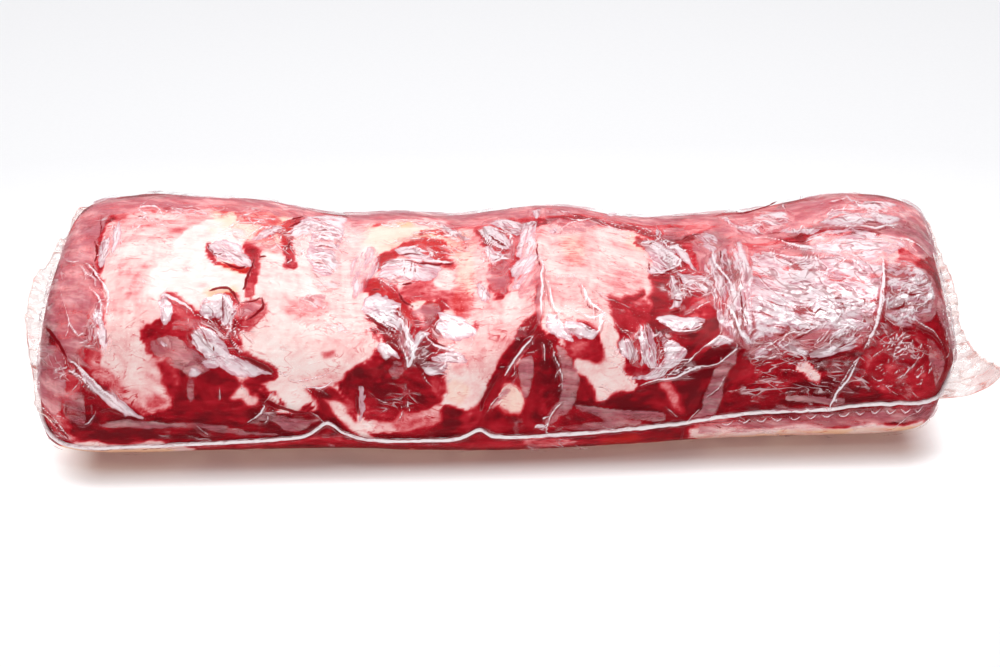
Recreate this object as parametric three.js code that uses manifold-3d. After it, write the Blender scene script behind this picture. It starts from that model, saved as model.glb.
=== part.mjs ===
// A vacuum pack of beef striploin, lying fat side down on a table.
// The clear bag is shrunk tight round the boneless joint, so the filled bag is one solid. Its two long
// edges carry a welded seam, and each end a crumpled flap of flat film left outside the end weld.
//
// Millimetres, +Z up. X runs along the joint, and -Y is the side that shows the front seam.
// The origin lies on the table, under the middle of the filled pack.

import * as THREE from "three";
import { mergeVertices } from "three/addons/utils/BufferGeometryUtils.js";
import Module from "manifold-3d";

// ---- Driving sizes ----
const LENGTH = 500; // filled pack, without the end flaps
const WIDTH = 198; // front seam side to back
const CREST = 89; // usual height of the top
const CORE = 40; // height of the widest level
const SETTLE = 3; // how far the joint's own weight flattens its underside
const END_SQUARE = 11; // how blunt the ends are: higher is squarer
const TOP_SQUARE = 3.2; // how boxy the upper half of the cross-section is
const BASE_SQUARE = 4; // the same for the lower half
const FOOT_LIFT = 2; // how far the film draws the front foot up

const SEAM_WIDTH = 4; // the welded band along each long edge
const SEAM_PROUD = 1.4;
const FILM = 1.2; // a flap of doubled film, with its crumples, as a solid

// Segments of the faceted surface: along, across and up the pack.
const ALONG = 66;
const ACROSS = 20;
const UP = 10;

// Rises and hollows of the top along the joint: where each lies, how far it spreads and its height.
const SWELLS = [
  { at: -205, spread: 72, rise: 12.5 }, // rump end
  { at: -132, spread: 26, rise: 3 },
  { at: -90, spread: 20, rise: -3 },
  { at: -46, spread: 20, rise: 4 },
  { at: -38, spread: 46, rise: -9 },
  { at: 44, spread: 24, rise: 1.5 },
  { at: 92, spread: 42, rise: -11.5 }, // waist before the sirloin end
  { at: 152, spread: 38, rise: -7.5 },
  { at: 205, spread: 48, rise: 5 }, // sirloin end
];

// The front stands out in the middle of the joint, and draws in at its waist.
const BULGES = [
  { at: 0, spread: 80, rise: 8 },
  { at: 140, spread: 60, rise: -3.5 },
];
const FOOT_TUCKS = [{ at: -115, spread: 80, rise: 2.5 }];

// How far each end slants out at its back, top and foot, away from the middle of the joint.
const END_SLANTS = {
  left: { back: -12, top: -6, foot: -3 },
  right: { back: 19, top: -17, foot: -22 },
};

// Grooves and standing folds of the film and the joint under it. Each runs through a few places, given
// as [along the joint, distance over the pack from the table at the front], with its half width.
// A positive height stands out as a fold, and a negative one is drawn in as a groove.
const CREASES = [
  { through: [[-218, 166], [-213, 121], [-207, 89]], width: 7, height: -4 }, // left tuck
  { through: [[-234, 75], [-213, 57], [-186, 34]], width: 5, height: 3 }, // left shoulder
  { through: [[-150, 164], [-128, 140]], width: 12, height: -4 }, // knot of the rump
  { through: [[-175, 92], [-140, 82], [-118, 71]], width: 10, height: -3 },
  { through: [[-92, 23], [-102, 56]], width: 7, height: -4 }, // left pinch above the seam
  { through: [[-74, 109], [-50, 86], [-40, 66]], width: 10, height: -4 }, // forked folds
  { through: [[-12, 24], [0, 54], [20, 89]], width: 7, height: -4 }, // middle pinch
  { through: [[27, 196], [23, 143], [20, 91]], width: 5, height: 3.5 }, // middle cross fold
  { through: [[44, 122], [56, 88], [50, 73]], width: 5, height: 3 },
  { through: [[67, 152], [106, 160], [124, 148]], width: 16, height: -4 }, // hollow of the waist
  { through: [[103, 24], [120, 60], [135, 79]], width: 7, height: -4 }, // right pinch
  { through: [[138, 186], [134, 130], [143, 80]], width: 6, height: 4 }, // edge of the sirloin lump
  { through: [[139, 172], [180, 134], [216, 98]], width: 5, height: 3 },
  { through: [[210, 132], [206, 96], [195, 66], [175, 31]], width: 5, height: 3.5 }, // long right fold
  { through: [[200, 86], [227, 67], [247, 33]], width: 6, height: -4 }, // right corner
  { through: [[-190, 250], [-120, 300]], width: 8, height: 4 }, // folds of the hidden back
  { through: [[-40, 320], [-10, 262]], width: 8, height: -4 },
  { through: [[60, 330], [96, 268]], width: 7, height: 4 },
  { through: [[150, 250], [196, 310]], width: 8, height: -4 },
];

// The front seam, in the same two distances. It is pulled up to a peak at two pinches.
const FRONT_SEAM = [
  [-247, 30], [-243, 22], [-235, 16], [-220, 14], [-197, 16], [-165, 17], [-134, 18], [-107, 21],
  [-93, 29], [-83, 23], [-68, 19], [-39, 20], [-24, 22], [-14, 27], [-5, 23], [23, 23],
  [71, 24], [98, 25], [131, 29], [163, 30], [196, 33], [228, 32], [243, 31],
];

// The hidden seam along the back edge, as a gentle wave over the table.
const BACK_SEAM = { height: 30, wave: 4, waveLength: 190, halfLength: 242, spacing: 22 };

// The flaps of flat film outside the end welds. Each crosses its end, rising from the front to the
// back, and stands out further at mid-width, and furthest in the ear at its front corner.
const FLAPS = [
  { side: -1, frontUp: -0.3, backUp: 0.9, edge: 2, swell: 14, ear: 0, ruffle: 2.5, pleats: 5.5 },
  { side: 1, frontUp: -0.25, backUp: 0.45, edge: 4, swell: 5, ear: 31, ruffle: 3, pleats: 4.5 },
];
const FLAP_ROOT = 20; // how deep each flap starts inside the solid
const EAR_SHARE = 0.4; // the share of the pack's width that the ear takes
const EAR_LIFT = 12;

// ---- The form of the filled pack ----

const hill = (x, at, spread) => Math.exp(-(((x - at) / spread) ** 2));
const hills = (x, list) => list.reduce((sum, h) => sum + h.rise * hill(x, h.at, h.spread), 0);
const clamp01 = (value) => THREE.MathUtils.clamp(value, 0, 1);

// A place on the edge of a square, walked from the front foot (0) up, over and down: 1 is the front
// shoulder, 2 the back shoulder, 3 the back foot, and 4 the front foot again.
function squareEdge(walk) {
  if (walk < 1) return [-1, 2 * walk - 1];
  if (walk < 2) return [2 * walk - 3, 1];
  if (walk < 3) return [1, 5 - 2 * walk];
  return [7 - 2 * walk, -1];
}

function walkOnSquare(across, up) {
  const ring = Math.max(Math.abs(across), Math.abs(up));
  if (ring === 0) return 0;
  if (across === -ring) return (up / ring + 1) / 2;
  if (up === ring) return (across / ring + 3) / 2;
  if (across === ring) return (5 - up / ring) / 2;
  return (7 - across / ring) / 2;
}

// The square pulled in to the rounded cross-section: the offsets from its core, and the outward slope.
function crossSection(across, up, halfWidth, crest) {
  const square = up > 0 ? TOP_SQUARE : BASE_SQUARE;
  const size = (Math.abs(across) ** square + Math.abs(up) ** square) ** (1 / square) || 1;
  const y = across / size;
  const z = up / size;
  const reach = up > 0 ? crest - CORE : CORE + SETTLE;
  return {
    y: y * halfWidth,
    z: z * reach,
    slopeY: (Math.sign(y) * Math.abs(y) ** (square - 1)) / halfWidth,
    slopeZ: (Math.sign(z) * Math.abs(z) ** (square - 1)) / reach,
  };
}

// The distance over the pack from the table at the front, for each step of the walk round the square.
const GIRTH_STEPS = 800;
const girth = measureGirth();

function measureGirth() {
  const lengths = [0];
  let lastY = -WIDTH / 2;
  let lastZ = 0;
  let onTable = 0;
  for (let step = 1; step <= GIRTH_STEPS; step++) {
    const walk = (4 * step) / GIRTH_STEPS;
    const section = crossSection(...squareEdge(walk), WIDTH / 2, CREST);
    const z = Math.max(section.z + CORE, 0);
    const gained = step === 1 ? 0 : Math.hypot(section.y - lastY, z - lastZ);
    lengths.push(lengths[step - 1] + gained);
    if (z === 0 && walk < 1) onTable = step;
    lastY = section.y;
    lastZ = z;
  }
  return lengths.map((length) => length - lengths[onTable]);
}

function walkAtDistance(distance) {
  const after = girth.findIndex((length) => length > distance);
  const share = (distance - girth[after - 1]) / (girth[after] - girth[after - 1]);
  return (4 * (after - 1 + share)) / GIRTH_STEPS;
}

function distanceAtWalk(walk) {
  const place = (walk / 4) * GIRTH_STEPS;
  const before = Math.min(Math.floor(place), GIRTH_STEPS - 1);
  return THREE.MathUtils.lerp(girth[before], girth[before + 1], place - before);
}

// The way from a place to a line through several places, and how far along the line that lands.
function nearestOnLine(x, distance, through) {
  let away = Infinity;
  let share = 0;
  for (let i = 1; i < through.length; i++) {
    const [ax, ad] = through[i - 1];
    const runX = through[i][0] - ax;
    const runD = through[i][1] - ad;
    const t = clamp01(((x - ax) * runX + (distance - ad) * runD) / (runX ** 2 + runD ** 2));
    const here = Math.hypot(x - ax - t * runX, distance - ad - t * runD);
    if (here < away) {
      away = here;
      share = (i - 1 + t) / (through.length - 1);
    }
  }
  return { away, share };
}

// How far the surface stands out at a place: each crease is highest mid-way and fades to its ends.
function reliefAt(x, distance) {
  let height = 0;
  for (const crease of CREASES) {
    const { away, share } = nearestOnLine(x, distance, crease.through);
    const fade = 0.35 + 0.65 * Math.sin(Math.PI * share);
    height += crease.height * fade * Math.exp(-((away / crease.width) ** 1.4));
  }
  return height;
}

// A point of a cube's surface (each coordinate from -1 to 1) as a point of the filled pack. The cube
// is pulled in to blunt ends and the cross-section, then creased, then its ends slant.
function packPoint(along, across, up, standing = 0) {
  const ring = Math.max(Math.abs(across), Math.abs(up), 1e-6); // 1 on a long side, less on an end
  const size = (Math.abs(along) ** END_SQUARE + ring ** END_SQUARE) ** (1 / END_SQUARE);
  const reach = along / size; // -1 to 1 along the joint
  const x = (LENGTH / 2) * reach;
  const scale = ring / size;
  const bulge = hills(x, BULGES);
  const section = crossSection(across / ring, up / ring, (WIDTH + bulge) / 2, CREST + hills(x, SWELLS));

  const outward = new THREE.Vector3(
    (Math.sign(reach) * Math.abs(reach) ** (END_SQUARE - 1)) / (LENGTH / 2),
    section.slopeY * scale ** (END_SQUARE - 1),
    section.slopeZ * scale ** (END_SQUARE - 1),
  ).normalize();
  const walk = walkOnSquare(across, up);
  const relief = walk < 3 ? reliefAt(x, distanceAtWalk(walk)) * scale : 0; // none on the underside

  const point = new THREE.Vector3(x, section.y * scale - bulge / 2, section.z * scale + CORE);
  const atFoot = clamp01(1 - point.z / 45);
  const atFront = clamp01(-point.y / (WIDTH / 2));
  point.z += (FOOT_LIFT + hills(x, FOOT_TUCKS)) * atFront ** 3 * atFoot;
  point.addScaledVector(outward, relief + standing);

  const slant = x < 0 ? END_SLANTS.left : END_SLANTS.right;
  const atBack = clamp01(point.y / WIDTH + 0.5);
  const atTop = clamp01(point.z / CREST);
  const slantNow = slant.back * atBack + slant.top * atTop + slant.foot * atFoot;
  point.x += Math.sign(x) * Math.abs(reach) ** 8 * slantNow;
  return point;
}

// A place on the filled pack from its distance along the joint and its distance over the pack.
function overPack(x, distance, standing) {
  const [across, up] = squareEdge(walkAtDistance(distance));
  const share = Math.min(Math.abs(x) / (LENGTH / 2), 0.9999) ** END_SQUARE;
  if (share <= 0.5) {
    const along = (share / (1 - share)) ** (1 / END_SQUARE);
    return packPoint(Math.sign(x) * along, across, up, standing);
  }
  const ring = (1 / share - 1) ** (1 / END_SQUARE);
  return packPoint(Math.sign(x), across * ring, up * ring, standing);
}

// ---- The pieces, each a closed geometry ----

function moveVertices(geometry, place) {
  const position = geometry.getAttribute("position");
  const vertex = new THREE.Vector3();
  for (let i = 0; i < position.count; i++) {
    vertex.fromBufferAttribute(position, i);
    const moved = place(vertex);
    position.setXYZ(i, moved.x, moved.y, moved.z);
  }
  return geometry;
}

function filledPack() {
  const cube = new THREE.BoxGeometry(2, 2, 2, ALONG, ACROSS, UP);
  return moveVertices(cube, (v) => packPoint(v.x, v.y, v.z));
}

// A welded band that lies on the pack. Its outer face is rounded off at both edges.
function seamBand(places, steps) {
  const path = new THREE.SplineCurve(places.map(([x, distance]) => new THREE.Vector2(x, distance)));
  const band = new THREE.BoxGeometry(1, 2, 2, steps, 4, 1);
  return moveVertices(band, (v) => {
    const middle = path.getPoint(v.x + 0.5);
    const standing = v.z > 0 ? SEAM_PROUD * (1 - 0.5 * v.y ** 2) : -2 * SEAM_PROUD;
    return overPack(middle.x, middle.y + (v.y * SEAM_WIDTH) / 2, standing);
  });
}

function backSeamPlaces() {
  const { height, wave, waveLength, halfLength, spacing } = BACK_SEAM;
  const tableAtBack = girth[(GIRTH_STEPS * 3) / 4];
  const places = [];
  for (let x = -halfLength; x <= halfLength; x += spacing) {
    places.push([x, tableAtBack - height + wave * Math.sin((2 * Math.PI * x) / waveLength)]);
  }
  return places;
}

// A flap of flat film. It starts inside the pack, follows the pack's end, and its free edge is ruffled.
function endFlap({ side, frontUp, backUp, edge, swell, ear, ruffle, pleats }) {
  const sheet = new THREE.BoxGeometry(1, 2, FILM, 6, 24, 1);
  return moveVertices(sheet, (v) => {
    const share = (v.y + 1) / 2; // 0 at the front corner, 1 at the back corner
    const atEar = clamp01(1 - share / EAR_SHARE) ** 1.3;
    const standing = edge + swell * Math.sin(Math.PI * share) ** 3 + ear * atEar;
    const out = v.x + 0.5; // 0 at the root, 1 at the free edge
    const point = packPoint(side, 0.97 * v.y, THREE.MathUtils.lerp(frontUp, backUp, share));
    point.x += side * (out * (standing + FLAP_ROOT) - FLAP_ROOT);
    const free = out ** 6;
    point.z += v.z + ruffle * free * Math.sin(2 * Math.PI * pleats * share);
    if (ear > 0) point.z += EAR_LIFT * free * atEar;
    return point;
  });
}

// ---- Joining the pieces to one solid ----

const manifold = await Module();
manifold.setup();

function solidFrom(geometry) {
  const bare = new THREE.BufferGeometry();
  bare.setAttribute("position", geometry.getAttribute("position"));
  bare.setIndex(geometry.index);
  const merged = mergeVertices(bare, 1e-3);
  const vertProperties = merged.attributes.position.array;
  const triVerts = new Uint32Array(merged.index.array);
  const solid = new manifold.Manifold(new manifold.Mesh({ numProp: 3, vertProperties, triVerts }));
  if (solid.volume() > 0) return solid;
  triVerts.reverse(); // a mirrored piece has its faces inside out
  return new manifold.Manifold(new manifold.Mesh({ numProp: 3, vertProperties, triVerts }));
}

function geometryFrom(solid) {
  const mesh = solid.getMesh();
  const geometry = new THREE.BufferGeometry();
  geometry.setAttribute("position", new THREE.BufferAttribute(mesh.vertProperties, 3));
  geometry.setIndex(new THREE.BufferAttribute(mesh.triVerts, 1));
  geometry.computeVertexNormals();
  return geometry;
}

function vacuumPack() {
  const pieces = [filledPack(), seamBand(FRONT_SEAM, 70), seamBand(backSeamPlaces(), 44)];
  pieces.push(...FLAPS.map(endFlap));
  const whole = pieces.map(solidFrom).reduce((joined, piece) => joined.add(piece));
  // The table takes away what the settled underside would reach below it, which leaves a flat foot.
  const table = new THREE.BoxGeometry(2 * LENGTH, 2 * WIDTH, 50);
  table.translate(0, 0, -25);
  return geometryFrom(whole.subtract(solidFrom(table)));
}

const filmOverBeef = new THREE.MeshStandardMaterial({ color: 0x9c3140, roughness: 0.2, metalness: 0 });
const pack = new THREE.Mesh(vacuumPack(), filmOverBeef);
pack.name = "striploin_pack";

const model = new THREE.Group();
model.add(pack);
export default model;
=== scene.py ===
"""A vacuum pack of beef striploin: the beef, the clear film shrunk on to it, its seams and its end flaps.

The pack's form is worked out in millimetres, as the solid has it, and becomes metres in each mesh.
A place on the pack has two coordinates: how far along the joint it lies, and its look, which is how
high over the table's edge it looks to someone who sees the pack from 24 degrees above its side. The
look runs from the front foot over the top to the back foot, and then back under the pack.
"""

import logging
import math
from collections.abc import Iterator
from dataclasses import dataclass
from enum import Enum

import bpy
import numpy as np
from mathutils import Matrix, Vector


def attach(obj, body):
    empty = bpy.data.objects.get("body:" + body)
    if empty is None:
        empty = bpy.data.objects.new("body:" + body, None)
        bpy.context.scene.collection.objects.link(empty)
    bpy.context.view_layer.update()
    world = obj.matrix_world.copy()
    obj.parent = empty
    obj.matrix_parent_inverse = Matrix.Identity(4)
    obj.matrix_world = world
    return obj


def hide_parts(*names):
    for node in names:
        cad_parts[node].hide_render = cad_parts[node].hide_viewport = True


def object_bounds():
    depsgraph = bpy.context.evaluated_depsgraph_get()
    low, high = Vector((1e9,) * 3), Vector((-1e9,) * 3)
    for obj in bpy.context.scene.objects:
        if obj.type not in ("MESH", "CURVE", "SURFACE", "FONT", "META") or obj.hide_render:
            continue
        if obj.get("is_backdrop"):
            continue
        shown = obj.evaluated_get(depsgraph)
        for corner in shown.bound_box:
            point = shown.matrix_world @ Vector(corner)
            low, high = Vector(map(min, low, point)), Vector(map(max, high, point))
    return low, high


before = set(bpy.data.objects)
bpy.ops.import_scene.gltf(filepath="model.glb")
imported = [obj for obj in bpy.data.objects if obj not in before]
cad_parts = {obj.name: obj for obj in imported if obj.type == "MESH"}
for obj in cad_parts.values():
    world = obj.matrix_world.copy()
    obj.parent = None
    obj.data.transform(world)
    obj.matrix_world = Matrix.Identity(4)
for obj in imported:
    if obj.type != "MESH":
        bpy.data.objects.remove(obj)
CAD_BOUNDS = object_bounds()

log = logging.getLogger("striploin_pack")

NODE = "striploin_pack"
BODY = "root"
MM = 0.001

Place = tuple[float, float]
Colour = tuple[float, float, float]
Line = tuple[Place, ...]
Steps = tuple[int, ...]
Array = np.ndarray
Pair = tuple[Array, Array]
Rng = np.random.Generator
Material = bpy.types.Material
Object = bpy.types.Object
Socket = bpy.types.NodeSocket


# ---- Numbers for shapes ----


def clamp01(value: Array) -> Array:
    """Each value, held between 0 and 1."""
    return np.clip(value, 0.0, 1.0)


def smooth_step(value: Array) -> Array:
    """0 below 0 and 1 above 1, with a smooth rise of 3v^2 - 2v^3 between."""
    v = clamp01(value)
    return v * v * (3.0 - 2.0 * v)


def blend(a: Array, b: Array, share: Array) -> Array:
    """The value that lies the given share of the way from a to b."""
    return a + (b - a) * share


@dataclass(frozen=True)
class Hill:
    """A smooth rise along the joint: rise * exp(-((x - at) / spread)^2)."""

    at: float
    spread: float
    rise: float


def hills(x: Array, rises: tuple[Hill, ...]) -> Array:
    """The sum of the hills at each x."""
    return sum(h.rise * np.exp(-(((x - h.at) / h.spread) ** 2)) for h in rises)


def as_line(places: Array | list[Array]) -> Line:
    """Places as plain pairs of numbers."""
    return tuple(map(tuple, places))


def spline(places: Array, count: int) -> Array:
    """A smooth line through places, each span a cubic whose slopes are half the way between neighbours.

    Args:
        places: The places, in rows.
        count: How many places to give.

    Returns:
        The places, evenly over the spans.
    """
    last = len(places) - 1
    at = np.linspace(0, last, count)
    i = np.minimum(at.astype(int), last - 1)
    t = (at - i)[:, None]
    p0, p1, p2, p3 = (places[np.clip(i + k, 0, last)] for k in (-1, 0, 1, 2))
    v1, v2 = (p2 - p0) / 2, (p3 - p1) / 2
    return (2 * p1 - 2 * p2 + v1 + v2) * t**3 + (3 * p2 - 3 * p1 - 2 * v1 - v2) * t**2 + v1 * t + p1


def bent(line: Line, spans: int = 4) -> Line:
    """The same line as a smooth curve, with so many straight spans for each of its own."""
    return as_line(spline(np.array(line, dtype=float), (len(line) - 1) * spans + 1))


def nearest_on_line(u: Array, v: Array, line: Line) -> Pair:
    """The way from each place to a line of straight pieces, and where on the line that lands.

    Args:
        u: First coordinate of each place.
        v: Second coordinate of each place.
        line: The places that the line runs through.

    Returns:
        The distance to the line, below 0 on its right, and the share of the line at the nearest point.
    """
    aside = np.full(np.broadcast(u, v).shape, np.inf)
    share = np.zeros_like(aside)
    pieces = len(line) - 1
    for i, ((au, av), (bu, bv)) in enumerate(zip(line[:-1], line[1:])):
        run_u, run_v = bu - au, bv - av
        along = clamp01(((u - au) * run_u + (v - av) * run_v) / max(run_u**2 + run_v**2, 1e-9))
        here = np.hypot(u - au - along * run_u, v - av - along * run_v)
        nearer = here < np.abs(aside)
        left = np.where(run_u * (v - av) >= run_v * (u - au), 1.0, -1.0)
        aside = np.where(nearer, here * left, aside)
        share = np.where(nearer, (i + along) / pieces, share)
    return aside, share


def depth_inside(u: Array, v: Array, outline: Line) -> Array:
    """How far inside a closed curve each place lies, and below 0 how far outside.

    Args:
        u: First coordinate of each place.
        v: Second coordinate of each place.
        outline: The places that the closed curve runs through.

    Returns:
        The distance to the curve, above 0 where a ray from the place crosses it an odd number of times.
    """
    curve = bent(outline + outline[:1], 3)
    inside = np.zeros(np.broadcast(u, v).shape, dtype=bool)
    for (au, av), (bu, bv) in zip(curve[:-1], curve[1:]):
        at = au + (v - av) * (bu - au) / (bv - av if bv != av else 1e-9)
        inside ^= ((av > v) != (bv > v)) & (u < at)
    return np.abs(nearest_on_line(u, v, curve)[0]) * np.where(inside, 1.0, -1.0)


class LatticeNoise:
    """Smooth random hills from random slopes at the corners of a cubic lattice."""

    SIZE = 256

    def __init__(self, seed: int) -> None:
        """Draws the lattice's slopes.

        Args:
            seed: The seed of the random draws, so that each run gives the same hills.
        """
        rng = np.random.default_rng(seed)
        self.order = rng.permutation(self.SIZE)
        slopes = rng.normal(size=(self.SIZE, 3))
        self.slopes = slopes / np.linalg.norm(slopes, axis=1, keepdims=True)

    def __call__(self, points: Array, size: float) -> Array:
        """Noise of about -1 to 1: at each lattice corner the slope times the way from the corner,
        blended between the eight corners with 6t^5 - 15t^4 + 10t^3.

        Args:
            points: Places, with their coordinates in the last axis.
            size: The lattice's pitch, in the points' unit.

        Returns:
            One value for each point.
        """
        scaled = points / size
        cell = np.floor(scaled).astype(int)
        part = scaled - cell
        fade = part**3 * (part * (part * 6 - 15) + 10)
        total = np.zeros(points.shape[:-1])
        for corner in np.ndindex(2, 2, 2):
            at = (cell + corner) % self.SIZE
            index = np.zeros(at.shape[:-1], dtype=int)
            for axis in (2, 1, 0):
                index = self.order[(at[..., axis] + index) % self.SIZE]
            slope = (self.slopes[index] * (part - corner)).sum(axis=-1)
            weight = np.prod(np.where(np.array(corner) == 1, fade, 1 - fade), axis=-1)
            total += weight * slope
        return total * 1.6

    def layered(self, points: Array, size: float, layers: int = 3) -> Array:
        """Noise at several sizes, each layer half the size and half the height of the last."""
        return sum(self(points + 37.0 * i, size / 2**i) / 2**i for i in range(layers))


# ---- The form of the filled pack, as the solid has it ----


@dataclass(frozen=True)
class Crease:
    """A groove or fold of the joint, in mm: along the joint and over the pack from the table."""

    through: Line
    width: float
    height: float


@dataclass(frozen=True)
class Slant:
    """How far an end slants out at its back, top and foot, in mm."""

    back: float
    top: float
    foot: float


SWELLS = (
    Hill(-205, 72, 12.5),
    Hill(-132, 26, 3),
    Hill(-90, 20, -3),
    Hill(-46, 20, 4),
    Hill(-38, 46, -9),
    Hill(44, 24, 1.5),
    Hill(92, 42, -11.5),
    Hill(152, 38, -7.5),
    Hill(205, 48, 5),
)
BULGES = (Hill(0, 80, 8), Hill(140, 60, -3.5))
FOOT_TUCKS = (Hill(-115, 80, 2.5),)
CREASES = (
    Crease(((-218, 166), (-213, 121), (-207, 89)), 7, -4),  # left tuck
    Crease(((-234, 75), (-213, 57), (-186, 34)), 5, 3),  # left shoulder
    Crease(((-150, 164), (-128, 140)), 12, -4),  # knot of the rump
    Crease(((-175, 92), (-140, 82), (-118, 71)), 10, -3),
    Crease(((-92, 23), (-102, 56)), 7, -4),  # left pinch above the seam
    Crease(((-74, 109), (-50, 86), (-40, 66)), 10, -4),  # forked folds
    Crease(((-12, 24), (0, 54), (20, 89)), 7, -4),  # middle pinch
    Crease(((27, 196), (23, 143), (20, 91)), 5, 3.5),  # middle cross fold
    Crease(((44, 122), (56, 88), (50, 73)), 5, 3),
    Crease(((67, 152), (106, 160), (124, 148)), 16, -4),  # hollow of the waist
    Crease(((103, 24), (120, 60), (135, 79)), 7, -4),  # right pinch
    Crease(((138, 186), (134, 130), (143, 80)), 6, 4),  # edge of the sirloin lump
    Crease(((139, 172), (180, 134), (216, 98)), 5, 3),
    Crease(((210, 132), (206, 96), (195, 66), (175, 31)), 5, 3.5),  # long right fold
    Crease(((200, 86), (227, 67), (247, 33)), 6, -4),  # right corner
    Crease(((-190, 250), (-120, 300)), 8, 4),  # folds of the hidden back
    Crease(((-40, 320), (-10, 262)), 8, -4),
    Crease(((60, 330), (96, 268)), 7, 4),
    Crease(((150, 250), (196, 310)), 8, -4),
)


@dataclass
class Skin:
    """Places on the filled pack, all arrays of one shape, in mm."""

    reach: Array  # -1 to 1 along the joint
    base: Array  # the places before the ends slant, with x, y and z in the last axis
    outward: Array
    along: Array  # along the joint, and on past the rim towards the middle of an end
    look: Array


class Walk:
    """The walk round a square that becomes the pack's cross-section, from 0 to 4.

    0 is the front foot, 1 the front shoulder, 2 the back shoulder, 3 the back foot and 4 the front
    foot again.
    """

    STEPS = 1600
    LOOK_DOWN = math.radians(24)

    def __init__(self, form: "PackForm") -> None:
        """Measures the usual cross-section once, step by step.

        Args:
            form: The pack's form.
        """
        self.walk = np.linspace(0.0, 4.0, self.STEPS + 1)
        across, up = self.square(self.walk)
        y, z, _, _ = form.section(across, up, form.width / 2, form.crest)
        z = np.maximum(z + form.core, 0.0)
        run_y, run_z = np.abs(np.diff(y)), np.abs(np.diff(z))
        girth = np.concatenate([[0.0], np.cumsum(np.hypot(run_y, run_z))])
        seen = run_y * math.sin(self.LOOK_DOWN) + run_z * math.cos(self.LOOK_DOWN)
        look = np.concatenate([[0.0], np.cumsum(seen)])
        start = max(int(np.argmax(z > 0)) - 1, 0)
        self.start = self.walk[start]
        self.distance = girth - girth[start]
        self.look = look - look[start]

    @staticmethod
    def square(walk: Array) -> Pair:
        """The place on the square's edge, across and up, each from -1 to 1.

        Args:
            walk: The walk round the square.

        Returns:
            The places across and up.
        """
        w = walk % 4
        across = np.select([w < 1, w < 2, w < 3], [-np.ones_like(w), 2 * w - 3, np.ones_like(w)], 7 - 2 * w)
        up = np.select([w < 1, w < 2, w < 3], [2 * w - 1, np.ones_like(w), 5 - 2 * w], -1)
        return across, up

    @staticmethod
    def of_square(across: Array, up: Array) -> Array:
        """The walk at a place on the square, or at its shadow on the square's edge from the middle.

        Args:
            across: Place across, from -1 to 1.
            up: Place upwards, from -1 to 1.

        Returns:
            The walk.
        """
        ring = np.maximum(np.maximum(np.abs(across), np.abs(up)), 1e-9)
        a, u = across / ring, up / ring
        front, top, back = a <= -1 + 1e-12, u >= 1 - 1e-12, a >= 1 - 1e-12
        return np.select([front, top, back], [(u + 1) / 2, (a + 3) / 2, (5 - u) / 2], (7 - a) / 2)

    def distance_at(self, walk: Array) -> Array:
        """The distance over the pack from the table at the front, in mm."""
        return np.interp(walk, self.walk, self.distance)

    def at_distance(self, distance: Array) -> Array:
        """The walk at a distance over the pack from the table at the front."""
        return np.interp(distance, self.distance, self.walk)

    def look_at(self, walk: Array) -> Array:
        """The look of a place, in mm."""
        return np.interp(walk, self.walk, self.look)

    def at_look(self, look: Array) -> Array:
        """The walk at a look."""
        return np.interp(look, self.look, self.walk)


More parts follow.
